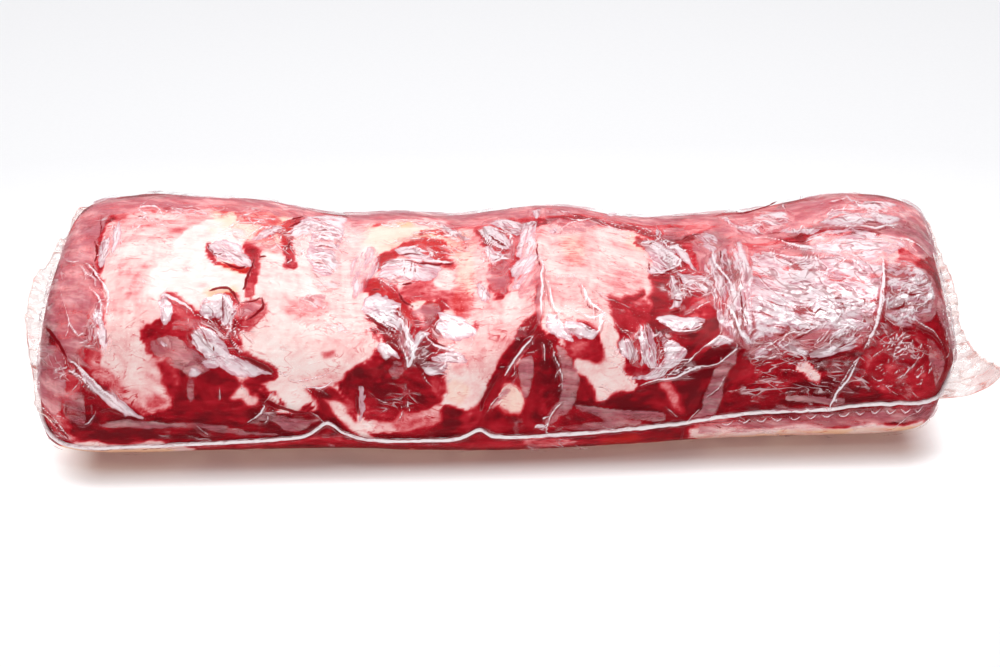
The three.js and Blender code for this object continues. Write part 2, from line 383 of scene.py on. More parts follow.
@dataclass(frozen=True)
class PackForm:
    """The filled pack: a cube's surface pulled in to blunt ends and a rounded cross-section."""

    length: float = 500.0
    width: float = 198.0
    crest: float = 89.0
    core: float = 40.0
    settle: float = 3.0
    end_square: float = 11.0
    top_square: float = 3.2
    base_square: float = 4.0
    foot_lift: float = 2.0
    left: Slant = Slant(-12, -6, -3)
    right: Slant = Slant(19, -17, -22)
    end_run: float = 60.0  # the look of the way from an end's rim to its middle

    def section(self, across: Array, up: Array, half_width: Array, crest: Array) -> tuple[Array, ...]:
        """The cross-section: a place on the square's edge divided by (|a|^p + |u|^p)^(1/p).

        Args:
            across: Place across, from -1 at the front to 1 at the back.
            up: Place upwards, from -1 at the foot to 1 at the top.
            half_width: Half the pack's width there.
            crest: The top's height over the table there.

        Returns:
            The offsets from the core across and up, and the outward slope across and up.
        """
        square = np.where(up > 0, self.top_square, self.base_square)
        size = (np.abs(across) ** square + np.abs(up) ** square) ** (1 / square)
        size = np.maximum(size, 1e-9)
        y, z = across / size, up / size
        reach = np.where(up > 0, crest - self.core, self.core + self.settle)
        slope_y = np.sign(y) * np.abs(y) ** (square - 1) / half_width
        slope_z = np.sign(z) * np.abs(z) ** (square - 1) / reach
        return y * half_width, z * reach, slope_y, slope_z

    def skin(self, along: Array, across: Array, up: Array) -> Skin:
        """Points of a cube's surface as places on the filled pack.

        With r the larger of |across| and |up|, a point is divided by (|along|^n + r^n)^(1/n). The
        creases then lift or draw in the surface along its outward direction.

        Args:
            along: Place along the cube, from -1 to 1.
            across: Place across the cube, from -1 to 1.
            up: Place up the cube, from -1 to 1.

        Returns:
            The places and their coordinates on the pack.
        """
        n = self.end_square
        ring = np.maximum(np.maximum(np.abs(across), np.abs(up)), 1e-6)
        size = (np.abs(along) ** n + ring**n) ** (1 / n)
        reach = along / size
        x = self.length / 2 * reach
        scale = ring / size
        bulge = hills(x, BULGES)
        crest = self.crest + hills(x, SWELLS)
        y, z, slope_y, slope_z = self.section(across / ring, up / ring, (self.width + bulge) / 2, crest)
        slope_x = np.sign(reach) * np.abs(reach) ** (n - 1) / (self.length / 2)
        inner = scale ** (n - 1)
        outward = np.stack(np.broadcast_arrays(slope_x, slope_y * inner, slope_z * inner), axis=-1)
        outward = outward / np.maximum(np.linalg.norm(outward, axis=-1, keepdims=True), 1e-12)
        base = np.stack(np.broadcast_arrays(x, y * scale - bulge / 2, z * scale + self.core), axis=-1)
        at_foot = clamp01(1 - base[..., 2] / 45)
        at_front = clamp01(-base[..., 1] / (self.width / 2))
        base[..., 2] += (self.foot_lift + hills(base[..., 0], FOOT_TUCKS)) * at_front**3 * at_foot
        walk = WALK.of_square(across, up)
        relief = self.relief(x, WALK.distance_at(walk)) * scale * (walk < 3)
        base = base + outward * relief[..., None]
        past_rim = np.sign(along) * (1 - ring) * self.end_run * (np.abs(along) >= 1)
        look = np.where(walk < WALK.start, walk + 4, walk)
        return Skin(np.broadcast_to(reach, relief.shape), base, outward, x + past_rim, WALK.look_at(look))

    @staticmethod
    def relief(x: Array, distance: Array) -> Array:
        """How far the creases lift the surface: height * exp(-(away / width)^1.4), highest mid-way.

        Args:
            x: Distance along the joint, in mm.
            distance: Distance over the pack from the table, in mm.

        Returns:
            The lift in mm.
        """
        height = np.zeros(np.broadcast(x, distance).shape)
        for crease in CREASES:
            aside, share = nearest_on_line(x, distance, crease.through)
            fade = 0.35 + 0.65 * np.sin(np.pi * share)
            height += crease.height * fade * np.exp(-((np.abs(aside) / crease.width) ** 1.4))
        return height

    def lifted(self, skin: Skin, height: Array, floor: float = 0.0) -> Array:
        """The places moved outwards by a height, with the ends slanted and nothing under the floor.

        Args:
            skin: Places on the pack.
            height: How far each stands off the pack, in mm.
            floor: The least height over the table, in mm.

        Returns:
            The finished places in mm.
        """
        point = skin.base + skin.outward * np.asarray(height)[..., None]
        at_foot = clamp01(1 - skin.base[..., 2] / 45)
        at_back = clamp01(point[..., 1] / self.width + 0.5)
        at_top = clamp01(point[..., 2] / self.crest)
        left, right = (end.back * at_back + end.top * at_top + end.foot * at_foot
                       for end in (self.left, self.right))
        slant = np.where(skin.reach < 0, left, right)
        point[..., 0] += np.sign(skin.reach) * np.abs(skin.reach) ** 8 * slant
        point[..., 2] = np.maximum(point[..., 2], floor)
        return point

    def over(self, x: Array, distance: Array) -> Skin:
        """Places from their distance along the joint and their distance over the pack from the table.

        Args:
            x: Distance along the joint, in mm.
            distance: Distance over the pack, in mm.

        Returns:
            The places.
        """
        across, up = Walk.square(WALK.at_distance(distance))
        share = np.minimum(np.abs(x) / (self.length / 2), 0.9999) ** self.end_square
        along = np.minimum((share / (1 - share)) ** (1 / self.end_square), 1.0)
        ring = np.minimum((1 / np.maximum(share, 1e-9) - 1) ** (1 / self.end_square), 1.0)
        return self.skin(np.sign(x) * along, across * ring, up * ring)


FORM = PackForm()
WALK = Walk(FORM)


# ---- Marks on the pack: paint, veils of trapped air, folds of the film ----


def trace(steps: Steps) -> Line:
    """A line through places: the (along, look) of its start in mm, then the step to each next place."""
    return as_line(np.cumsum(np.reshape(steps, (-1, 2)), axis=0).tolist())


@dataclass(frozen=True)
class Stroke:
    """A brush stroke through places of (along, look) in mm, as strong as its level."""

    through: Line
    half_width: float
    level: float
    soft: float  # the share of the half width over which the edge fades


def strokes(*rows: tuple[Steps, float, float, float]) -> tuple[Stroke, ...]:
    """Strokes, each from its steps, its half width, its level and its softness."""
    return tuple(Stroke(trace(steps), *look) for steps, *look in rows)


@dataclass(frozen=True)
class Patch:
    """An area inside an outline of (along, look) in mm, with one level and streaks one way."""

    outline: Line
    level: float
    turn: float | None = None  # degrees from the joint's length to the streaks, or None along the patch


Patches = tuple[Patch, ...]


def patches(level: float, *outlines: Steps, turn: float | None = None) -> Patches:
    """Areas that share a level."""
    return tuple(Patch(trace(steps), level, turn) for steps in outlines)


@dataclass
class Cover:
    """What covers a grid: each field is over the grid."""

    depth: Array  # 0.5 on an edge, and 1 from half of Canvas.EDGE inside
    level: Array
    streak: Array  # streaks of -1 to 1
    run: Array  # how far each place lies along the streaks, in mm
    cross: Array  # and across them


@dataclass(frozen=True)
class Fold:
    """A sharp line on the film, in mm: it stands out, or is drawn in where the strength is below 0."""

    through: Line
    strength: float

    def forks(self, rng: Rng) -> Iterator["Fold"]:
        """Draws three short branches, each bent a little and 4 to 11 mm long.

        Args:
            rng: Where the draws come from.

        Returns:
            The branches.
        """
        path = spline(np.array(self.through, dtype=float), 40)
        for start in rng.integers(4, 34, 3):
            way = path[start + 4] - path[start]
            heading = math.atan2(way[1], way[0]) + rng.choice([-1, 1]) * rng.uniform(0.3, 0.75)
            length = rng.uniform(4, 11)
            step = length * np.array([math.cos(heading), math.sin(heading)])
            bend = rng.normal(0, 0.15) * np.array([-step[1], step[0]])
            yield Fold(as_line([path[start], path[start] + step / 2 + bend, path[start] + step]), 0.55)


Folds = tuple[Fold, ...]


def folds(strength: float, *lines: Steps) -> Folds:
    """Lines that share a strength."""
    return tuple(Fold(trace(steps), strength) for steps in lines)


@dataclass(frozen=True)
class Cluster:
    """Many short bent folds round one place."""

    middle: Place
    spread: Place
    count: int
    turn: float  # degrees from the length of the joint
    length: float
    strength: float

    def folds(self, rng: Rng) -> Iterator[Fold]:
        """Draws the folds: evenly over an ellipse, 0.6 to 1.4 times as long as the length.

        Args:
            rng: Where the draws come from.

        Returns:
            The folds.
        """
        for _ in range(self.count):
            radius, turn = np.sqrt(rng.uniform()), rng.uniform(0, 2 * np.pi)
            middle = np.array(self.middle) + radius * np.array(self.spread) * [np.cos(turn), np.sin(turn)]
            heading = np.radians(self.turn + rng.normal(0, 16))
            half = self.length * rng.uniform(0.3, 0.7) * np.array([np.cos(heading), np.sin(heading)])
            bend = rng.normal(0, 0.22) * np.array([-half[1], half[0]])
            strength = self.strength * rng.uniform(0.5, 1.2)
            yield Fold(as_line([middle - half, middle + bend, middle + half]), strength)


@dataclass(frozen=True)
class Scatter:
    """Seeded marks over a box of (along, look) in mm, on the sides that the photograph does not show."""

    low: Place
    high: Place
    count: int
    length: Place  # the least and the most, in mm
    turn: float  # degrees from the length of the joint
    level: Place  # the least and the most

    def draw(self, rng: Rng) -> Iterator[tuple[Array, Array, Array, float]]:
        """For each mark its middle, its half along itself, the way across it and its level.

        Args:
            rng: Where the draws come from.

        Returns:
            The four for each mark.
        """
        for _ in range(self.count):
            heading = math.radians(self.turn + rng.normal(0, 22))
            way = np.array([math.cos(heading), math.sin(heading)])
            half = rng.uniform(*self.length) / 2 * way
            middle, across = rng.uniform(self.low, self.high), np.array([-way[1], way[0]])
            yield middle, half, across, rng.uniform(*self.level)

    def areas(self, rng: Rng, slim: float) -> Patches:
        """Patches with nine corners each, slim times as wide as long, with radii of 0.6 to 1.15.

        Args:
            rng: Where the draws come from.
            slim: The width as a share of the length.

        Returns:
            The patches.
        """
        around = np.arange(9) * 2 * np.pi / 9
        found = []
        for middle, half, across, level in self.draw(rng):
            radii = rng.uniform(0.6, 1.15, 9)[:, None]
            wide = slim * np.hypot(*half) * across
            corners = middle + radii * (np.cos(around)[:, None] * half + np.sin(around)[:, None] * wide)
            found.append(Patch(as_line(corners), level))
        return tuple(found)

    def lines(self, rng: Rng) -> Folds:
        """Folds that are bent a little to one side and back.

        Args:
            rng: Where the draws come from.

        Returns:
            The folds.
        """
        found = []
        for middle, half, across, level in self.draw(rng):
            bends = rng.normal(0, 0.12, 4)[:, None] * np.hypot(*half) * across
            corners = middle + np.linspace(-1, 1, 4)[:, None] * half + bends
            found.append(Fold(as_line(corners), level))
        return tuple(found)


STREAKS = LatticeNoise(71)


class Canvas:
    """Rows along the pack and columns round it, on which marks are set down."""

    EDGE = 6.0  # the way in mm over which a cover or a ruled line falls from 1 to 0

    def __init__(self, along: Array, look: Array) -> None:
        """Lays out the grid.

        Args:
            along: How far along the joint each row lies, in mm.
            look: The look of each column, in mm.
        """
        self.along = along
        self.look = look
        self.u, self.v = np.meshgrid(along, look, indexing="ij")

    def blank(self, level: float = 0.0) -> Array:
        """A field over the grid with the same level everywhere."""
        return np.full(self.u.shape, level)

    def warp(self, points: Array, noise: LatticeNoise, waves: tuple[Place, ...]) -> None:
        """Moves the places about a little, so that edges of marks come out ragged.

        Args:
            points: The grid's places in mm, for the noise.
            noise: What moves them.
            waves: The size and the depth of each layer of waves, in mm.
        """
        for size, depth in waves:
            self.u = self.u + depth * noise(points + 300.0, size)
            self.v = self.v + depth * noise(points + 700.0, size)

    def near(self, line: Line, margin: float) -> Pair:
        """The block of the grid that holds a line and the margin round it, as an index.

        Args:
            line: The line.
            margin: The margin, in mm.

        Returns:
            The index of the block's rows and columns.
        """
        low_u, low_v = np.min(line, axis=0) - margin
        high_u, high_v = np.max(line, axis=0) + margin
        rows = np.flatnonzero((self.along >= low_u) & (self.along <= high_u))
        columns = np.flatnonzero((self.look >= low_v) & (self.look <= high_v))
        return np.ix_(rows, columns)

    def streaks(self, block: Pair, stroke: Stroke) -> Pair:
        """How far each place of a block is from a stroke, and streaks that run along the stroke.

        Args:
            block: The part of the grid.
            stroke: The stroke.

        Returns:
            The distance from the stroke's line, and noise of -1 to 1, five times as long as wide.
        """
        line = bent(stroke.through)
        aside, share = nearest_on_line(self.u[block], self.v[block], line)
        run = np.hypot(*np.diff(np.array(line), axis=0).T).sum()
        spot = np.stack([share * run / 5 + 100.0, aside, np.full_like(aside, run + stroke.level)], axis=-1)
        return np.abs(aside), 0.7 * STREAKS(spot, 2.6) + 0.5 * STREAKS(spot + 60.0, 1.4)

    def paint(self, field: Array, strokes: tuple[Stroke, ...], grain: float, ragged: Array) -> None:
        """Blends each stroke's level into the field, one stroke over the other.

        Args:
            field: What is painted on.
            strokes: The strokes, in order.
            grain: How far the level varies in streaks along each stroke.
            ragged: How far each edge is moved in or out there, as a share of the half width.
        """
        for stroke in strokes:
            block = self.near(stroke.through, 1.8 * stroke.half_width + 8)
            away, streak = self.streaks(block, stroke)
            inside = 1 - away / stroke.half_width + ragged[block] + 0.25 * streak
            share = smooth_step(inside / stroke.soft + 0.5)
            field[block] = blend(field[block], stroke.level + grain * streak, share)

    def frame(self, block: Pair, patch: Patch) -> Pair:
        """How far each place of a block lies along and across a patch's streaks, in mm from its middle.

        Args:
            block: The part of the grid.
            patch: The patch.

        Returns:
            The distances along and across.
        """
        places = np.array(patch.outline, dtype=float)
        middle = places.mean(axis=0)
        way = np.linalg.eigh(np.cov((places - middle).T))[1][:, 1]
        if patch.turn is not None:
            way = np.array([math.cos(math.radians(patch.turn)), math.sin(math.radians(patch.turn))])
        u, v = self.u[block] - middle[0], self.v[block] - middle[1]
        return u * way[0] + v * way[1], v * way[0] - u * way[1]

    @staticmethod
    def grain(run: Array, cross: Array, seed: float) -> Array:
        """Streaks of -1 to 1, four times as long as wide."""
        spot = np.stack([run / 4, cross, np.full_like(run, seed)], axis=-1)
        return 0.8 * STREAKS(spot, 2.2) + 0.5 * STREAKS(spot + 60.0, 1.1)

    def fill(self, field: Array, areas: Patches, soft: float, grain: float, ragged: Array) -> None:
        """Blends each patch's level into the field, one patch over the other.

        Args:
            field: What is painted on.
            areas: The patches, in order.
            soft: How wide each edge is, in mm.
            grain: How far the level varies in streaks along each patch.
            ragged: How far each edge is moved in or out there, in mm.
        """
        for patch in areas:
            block = self.near(patch.outline, 2 * soft + 4)
            depth = depth_inside(self.u[block], self.v[block], patch.outline) + ragged[block]
            streak = self.grain(*self.frame(block, patch), 10.0 * sum(patch.outline[0]))
            share = smooth_step(0.5 + (depth + 0.5 * streak) / soft)
            field[block] = blend(field[block], patch.level + grain * streak, share)

    def cover(self, areas: Patches, ragged: Array) -> Cover:
        """How deep inside the patches each place lies, with the level and streaks of the deepest there.

        Args:
            areas: What covers the grid.
            ragged: How far each edge is moved in or out there, in mm.

        Returns:
            The cover. Where there is no patch, its streaks run along the joint.
        """
        found = Cover(self.blank(), self.blank(), self.blank(), self.u.copy(), self.v.copy())
        for patch in areas:
            block = self.near(patch.outline, self.EDGE)
            depth = depth_inside(self.u[block], self.v[block], patch.outline)
            run, cross = self.frame(block, patch)
            seed = 10.0 * sum(patch.outline[0])
            streak = self.grain(run, cross, seed)
            here = clamp01(0.5 + (depth + ragged[block] + 0.3 * streak) / self.EDGE)
            more = here > found.depth[block]
            deepest = Cover(here, patch.level, streak, run + seed, cross)
            for name, value in vars(deepest).items():
                field = getattr(found, name)
                field[block] = np.where(more, value, field[block])
        return found

    def rule(self, field: Array, lines: Folds, width: Place, aside: float = 0.0) -> None:
        """Rules lines into a field that is 0.5 on a line's edge and falls by 1 over EDGE from its middle.

        A line's half width is (width[0] + width[1] * strength) * sqrt(sin(pi * share)).

        Args:
            field: What the lines are ruled in.
            lines: The lines.
            width: The two numbers of the half width, in mm.
            aside: How far under the line it is ruled, in half widths.
        """
        for line in lines:
            half = width[0] + width[1] * line.strength
            block = self.near(line.through, self.EDGE + abs(aside) * half)
            away, share = nearest_on_line(self.u[block], self.v[block], bent(line.through))
            below = -math.copysign(1.0, line.through[-1][0] - line.through[0][0])
            taper = np.sqrt(np.sin(np.pi * np.clip(share, 0, 1)))
            depth = half * taper - np.abs(away - below * aside * half)
            field[block] = np.maximum(field[block], clamp01(0.5 + depth / self.EDGE))

    def crease(self, height: Array, lines: Folds) -> None:
        """Adds folds to a height, each a sharp crest between wide hollow flanks.

        A fold adds 0.6 * strength * sqrt(sin(pi * share)) * (0.6 * exp(-(away / w)^1.3) + 0.4 * exp(-away
        / (3.5 * w))), with w = 0.6 + 0.4 * strength.

        Args:
            height: The height in mm, over the grid.
            lines: The folds.
        """
        for fold in lines:
            width = 0.6 + 0.4 * abs(fold.strength)
            block = self.near(fold.through, 12 * width + 2)
            aside, share = nearest_on_line(self.u[block], self.v[block], bent(fold.through))
            away = np.abs(aside) / width
            taper = np.sqrt(np.sin(np.pi * np.clip(share, 0, 1)))
            form = 0.6 * np.exp(-(away**1.3)) + 0.4 * np.exp(-away / 3.5)
            height[block] += 0.6 * fold.strength * taper * form

    def slack(self, clusters: tuple[Cluster, ...], least: float) -> Array:
        """How much the film wrinkles: a least amount and a rise of exp(-r^2) round each cluster.

        Args:
            clusters: Where folds lie together.
            least: The least amount.

        Returns:
            The amount, over the grid.
        """
        field = self.blank(least)
        for cluster in clusters:
            (u, v), (su, sv) = cluster.middle, np.array(cluster.spread) * 1.3
            field = np.maximum(field, np.exp(-(((self.u - u) / su) ** 2) - ((self.v - v) / sv) ** 2))
        return field


# ---- Meshes ----


def grid_faces(rows: int, columns: int, around: bool = False) -> Array:
    """The quads of a grid of rows times columns places, closed to a ring over its columns if around.

    Args:
        rows: How many rows.
        columns: How many columns.
        around: Whether the columns close to a ring.

    Returns:
        The corners of each quad.
    """
    row = np.arange(rows - 1)[:, None]
    column = np.arange(columns if around else columns - 1)[None, :]
    after = (column + 1) % columns
    near, far = row * columns, (row + 1) * columns
    corners = np.broadcast_arrays(near + column, far + column, far + after, near + after)
    return np.stack(corners, axis=-1).reshape(-1, 4)


@dataclass
class Sheet:
    """A piece's surface: its places and faces, with what its material reads."""

    points: Array  # (count, 3) in mm
    faces: list[Array]  # each (count, corners)
    normals: Array | None = None
    fields: dict[str, Array] | None = None

    @classmethod
    def tube(cls, points: Array) -> "Sheet":
        """A closed tube from rings of places, (rings, places, 3), with a flat cap at each end.

        Args:
            points: The rings, in mm.

        Returns:
            The tube.
        """
        rings, count = points.shape[:2]
        first = np.arange(count)
        caps = np.stack([first[::-1], first + (rings - 1) * count])
        return cls(points.reshape(-1, 3), [grid_faces(rings, count, around=True), caps])

    @classmethod
    def slab(cls, middle: Array, thickness: float) -> "Sheet":
        """A closed thin slab round a sheet of places, (rows, columns, 3), which is its middle.

        Args:
            middle: The sheet, in mm.
            thickness: The slab's thickness, in mm.

        Returns:
            The slab.
        """
        rows, columns = middle.shape[:2]
        normal = np.cross(np.gradient(middle, axis=0), np.gradient(middle, axis=1))
        normal /= np.maximum(np.linalg.norm(normal, axis=-1, keepdims=True), 1e-12)
        sides = [(middle + way * normal * thickness / 2).reshape(-1, 3) for way in (1, -1)]
        quads = grid_faces(rows, columns)
        row, column = np.arange(rows), np.arange(columns)
        right, left = row[1:] * columns + columns - 1, row[-2:0:-1] * columns
        rim = np.concatenate([column, right, (rows - 1) * columns + column[-2::-1], left])
        after = np.roll(rim, -1)
        count = rows * columns
        walls = np.stack([rim, after, after + count, rim + count], axis=-1)
        return cls(np.concatenate(sides), [quads, quads[:, ::-1] + count, walls])

    def to_object(self, name: str) -> Object:
        """Puts the surface into a Blender object in metres, at the origin, with the name.

        Args:
            name: The object's name.

        Returns:
            The object.
        """
        mesh = bpy.data.meshes.new(name)
        corners = np.concatenate([f.ravel() for f in self.faces]).astype(np.int32)
        sizes = np.concatenate([np.full(len(f), f.shape[1]) for f in self.faces]).astype(np.int32)
        mesh.vertices.add(len(self.points))
        mesh.vertices.foreach_set("co", (self.points * MM).astype(np.float32).ravel())
        mesh.loops.add(len(corners))
        mesh.loops.foreach_set("vertex_index", corners)
        mesh.polygons.add(len(sizes))
        mesh.polygons.foreach_set("loop_start", (np.cumsum(sizes) - sizes).astype(np.int32))
        mesh.polygons.foreach_set("loop_total", sizes)
        mesh.polygons.foreach_set("use_smooth", np.ones(len(sizes), dtype=bool))
        for key, values in (self.fields or {}).items():
            attribute = mesh.attributes.new(key, "FLOAT", "POINT")
            attribute.data.foreach_set("value", values.astype(np.float32).ravel())
        mesh.update(calc_edges=True)
        mesh.validate()
        if self.normals is not None:
            mesh.normals_split_custom_set_from_vertices(self.normals.astype(np.float32))
        piece = bpy.data.objects.new(name, mesh)
        bpy.context.collection.objects.link(piece)
        return piece

    def placed(self, name: str, material: Material) -> Object:
        """Args:
            name: The piece's name.
            material: Its material.

        Returns:
            The piece.
        """
        piece = self.to_object(name)
        piece.data.materials.append(material)
        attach(piece, BODY)
        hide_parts(NODE)
        log.info("%s: %d vertices, %d faces", name, len(piece.data.vertices), len(piece.data.polygons))
        return piece


class PackGrid:
    """A grid over the whole pack: rows from the left end to the right, columns round the girth."""

    def __init__(self, spacing: float, looks: Array) -> None:
        """Spreads the rows evenly over the pack and its ends.

        Args:
            spacing: The way between two rows, in mm.
            looks: The look of each column, in mm, over less than the whole girth.
        """
        fine = np.linspace(-2, 2, 8001)
        along, ring = self.meridian(fine)
        size = (np.abs(along) ** FORM.end_square + ring**FORM.end_square) ** (1 / FORM.end_square)
        steps = np.hypot(np.diff(along / size * FORM.length / 2), np.diff(ring / size * FORM.end_run))
        run = np.concatenate([[0], np.cumsum(steps)])
        rows = int(run[-1] / spacing)
        self.rows = np.interp(np.linspace(0, run[-1], rows + 1)[1:-1], run, fine)
        self.looks = looks
        walks = WALK.at_look(looks)
        across, up = Walk.square(walks)
        along, ring = self.meridian(self.rows[:, None])
        self.skin = FORM.skin(along, across[None, :] * ring, up[None, :] * ring)
        under = np.where(walks > 3.5, looks - WALK.look[-1], looks)
        self.canvas = Canvas(self.skin.along[:, 0], under)

    @staticmethod
    def meridian(place: Array) -> Pair:
        """The place along the cube and the ring across it, for a walk of -2 to 2 from end to end."""
        return np.clip(place, -1, 1), np.clip(2 - np.abs(place), 0, 1)

    def poles(self, height: float) -> Array:
        """The middles of the two ends, in mm, at a height over the pack."""
        ends = FORM.skin(np.array([-1.0, 1.0]), np.zeros(2), np.zeros(2))
        return FORM.lifted(ends, np.full(2, height))

    @staticmethod
    def normals(points: Array) -> Array:
        """Outward unit normals of a grid that is closed over its columns, by central differences.

        Args:
            points: The grid's places.

        Returns:
            The normals.
        """
        down = np.gradient(points, axis=0)
        over = np.roll(points, -1, axis=1) - np.roll(points, 1, axis=1)
        cross = np.cross(down, over)
        return cross / np.maximum(np.linalg.norm(cross, axis=-1, keepdims=True), 1e-12)

    def sheet(
        self, points: Array, poles: Array, fields: dict[str, Array], columns: Array, around: bool
    ) -> Sheet:
        """The part of the grid over some columns, closed at both ends by a fan round each pole.

        Args:
            points: The whole grid's places, in mm.
            poles: The places at the middles of the two ends, in mm.
            fields: What the material reads, over the whole grid.
            columns: The indices of the columns to take.
            around: Whether the columns close to a ring.

        Returns:
            The surface.
        """
        rows, count = len(self.rows), len(columns)
        normals = self.normals(points)
        flat = np.concatenate([points[:, columns].reshape(-1, 3), poles])
        quads = grid_faces(rows, count, around)
        first = np.arange(count if around else count - 1)
        after = (first + 1) % count
        last = (rows - 1) * count
        left, right = rows * count, rows * count + 1
        fans = [
            np.stack([np.full_like(first, left), first, after], axis=-1),
            np.stack([last + after, last + first, np.full_like(first, right)], axis=-1),
        ]
        outward = np.concatenate([normals[:, columns].reshape(-1, 3), [[-1.0, 0, 0], [1.0, 0, 0]]])
        values = {}
        for key, field in fields.items():
            values[key] = np.concatenate([field[:, columns].ravel(), field[[0, -1]].mean(axis=1)])
        return Sheet(flat, [quads, np.concatenate(fans)], outward, values)


# ---- Where each mark lies: places are (along, look) in mm ----

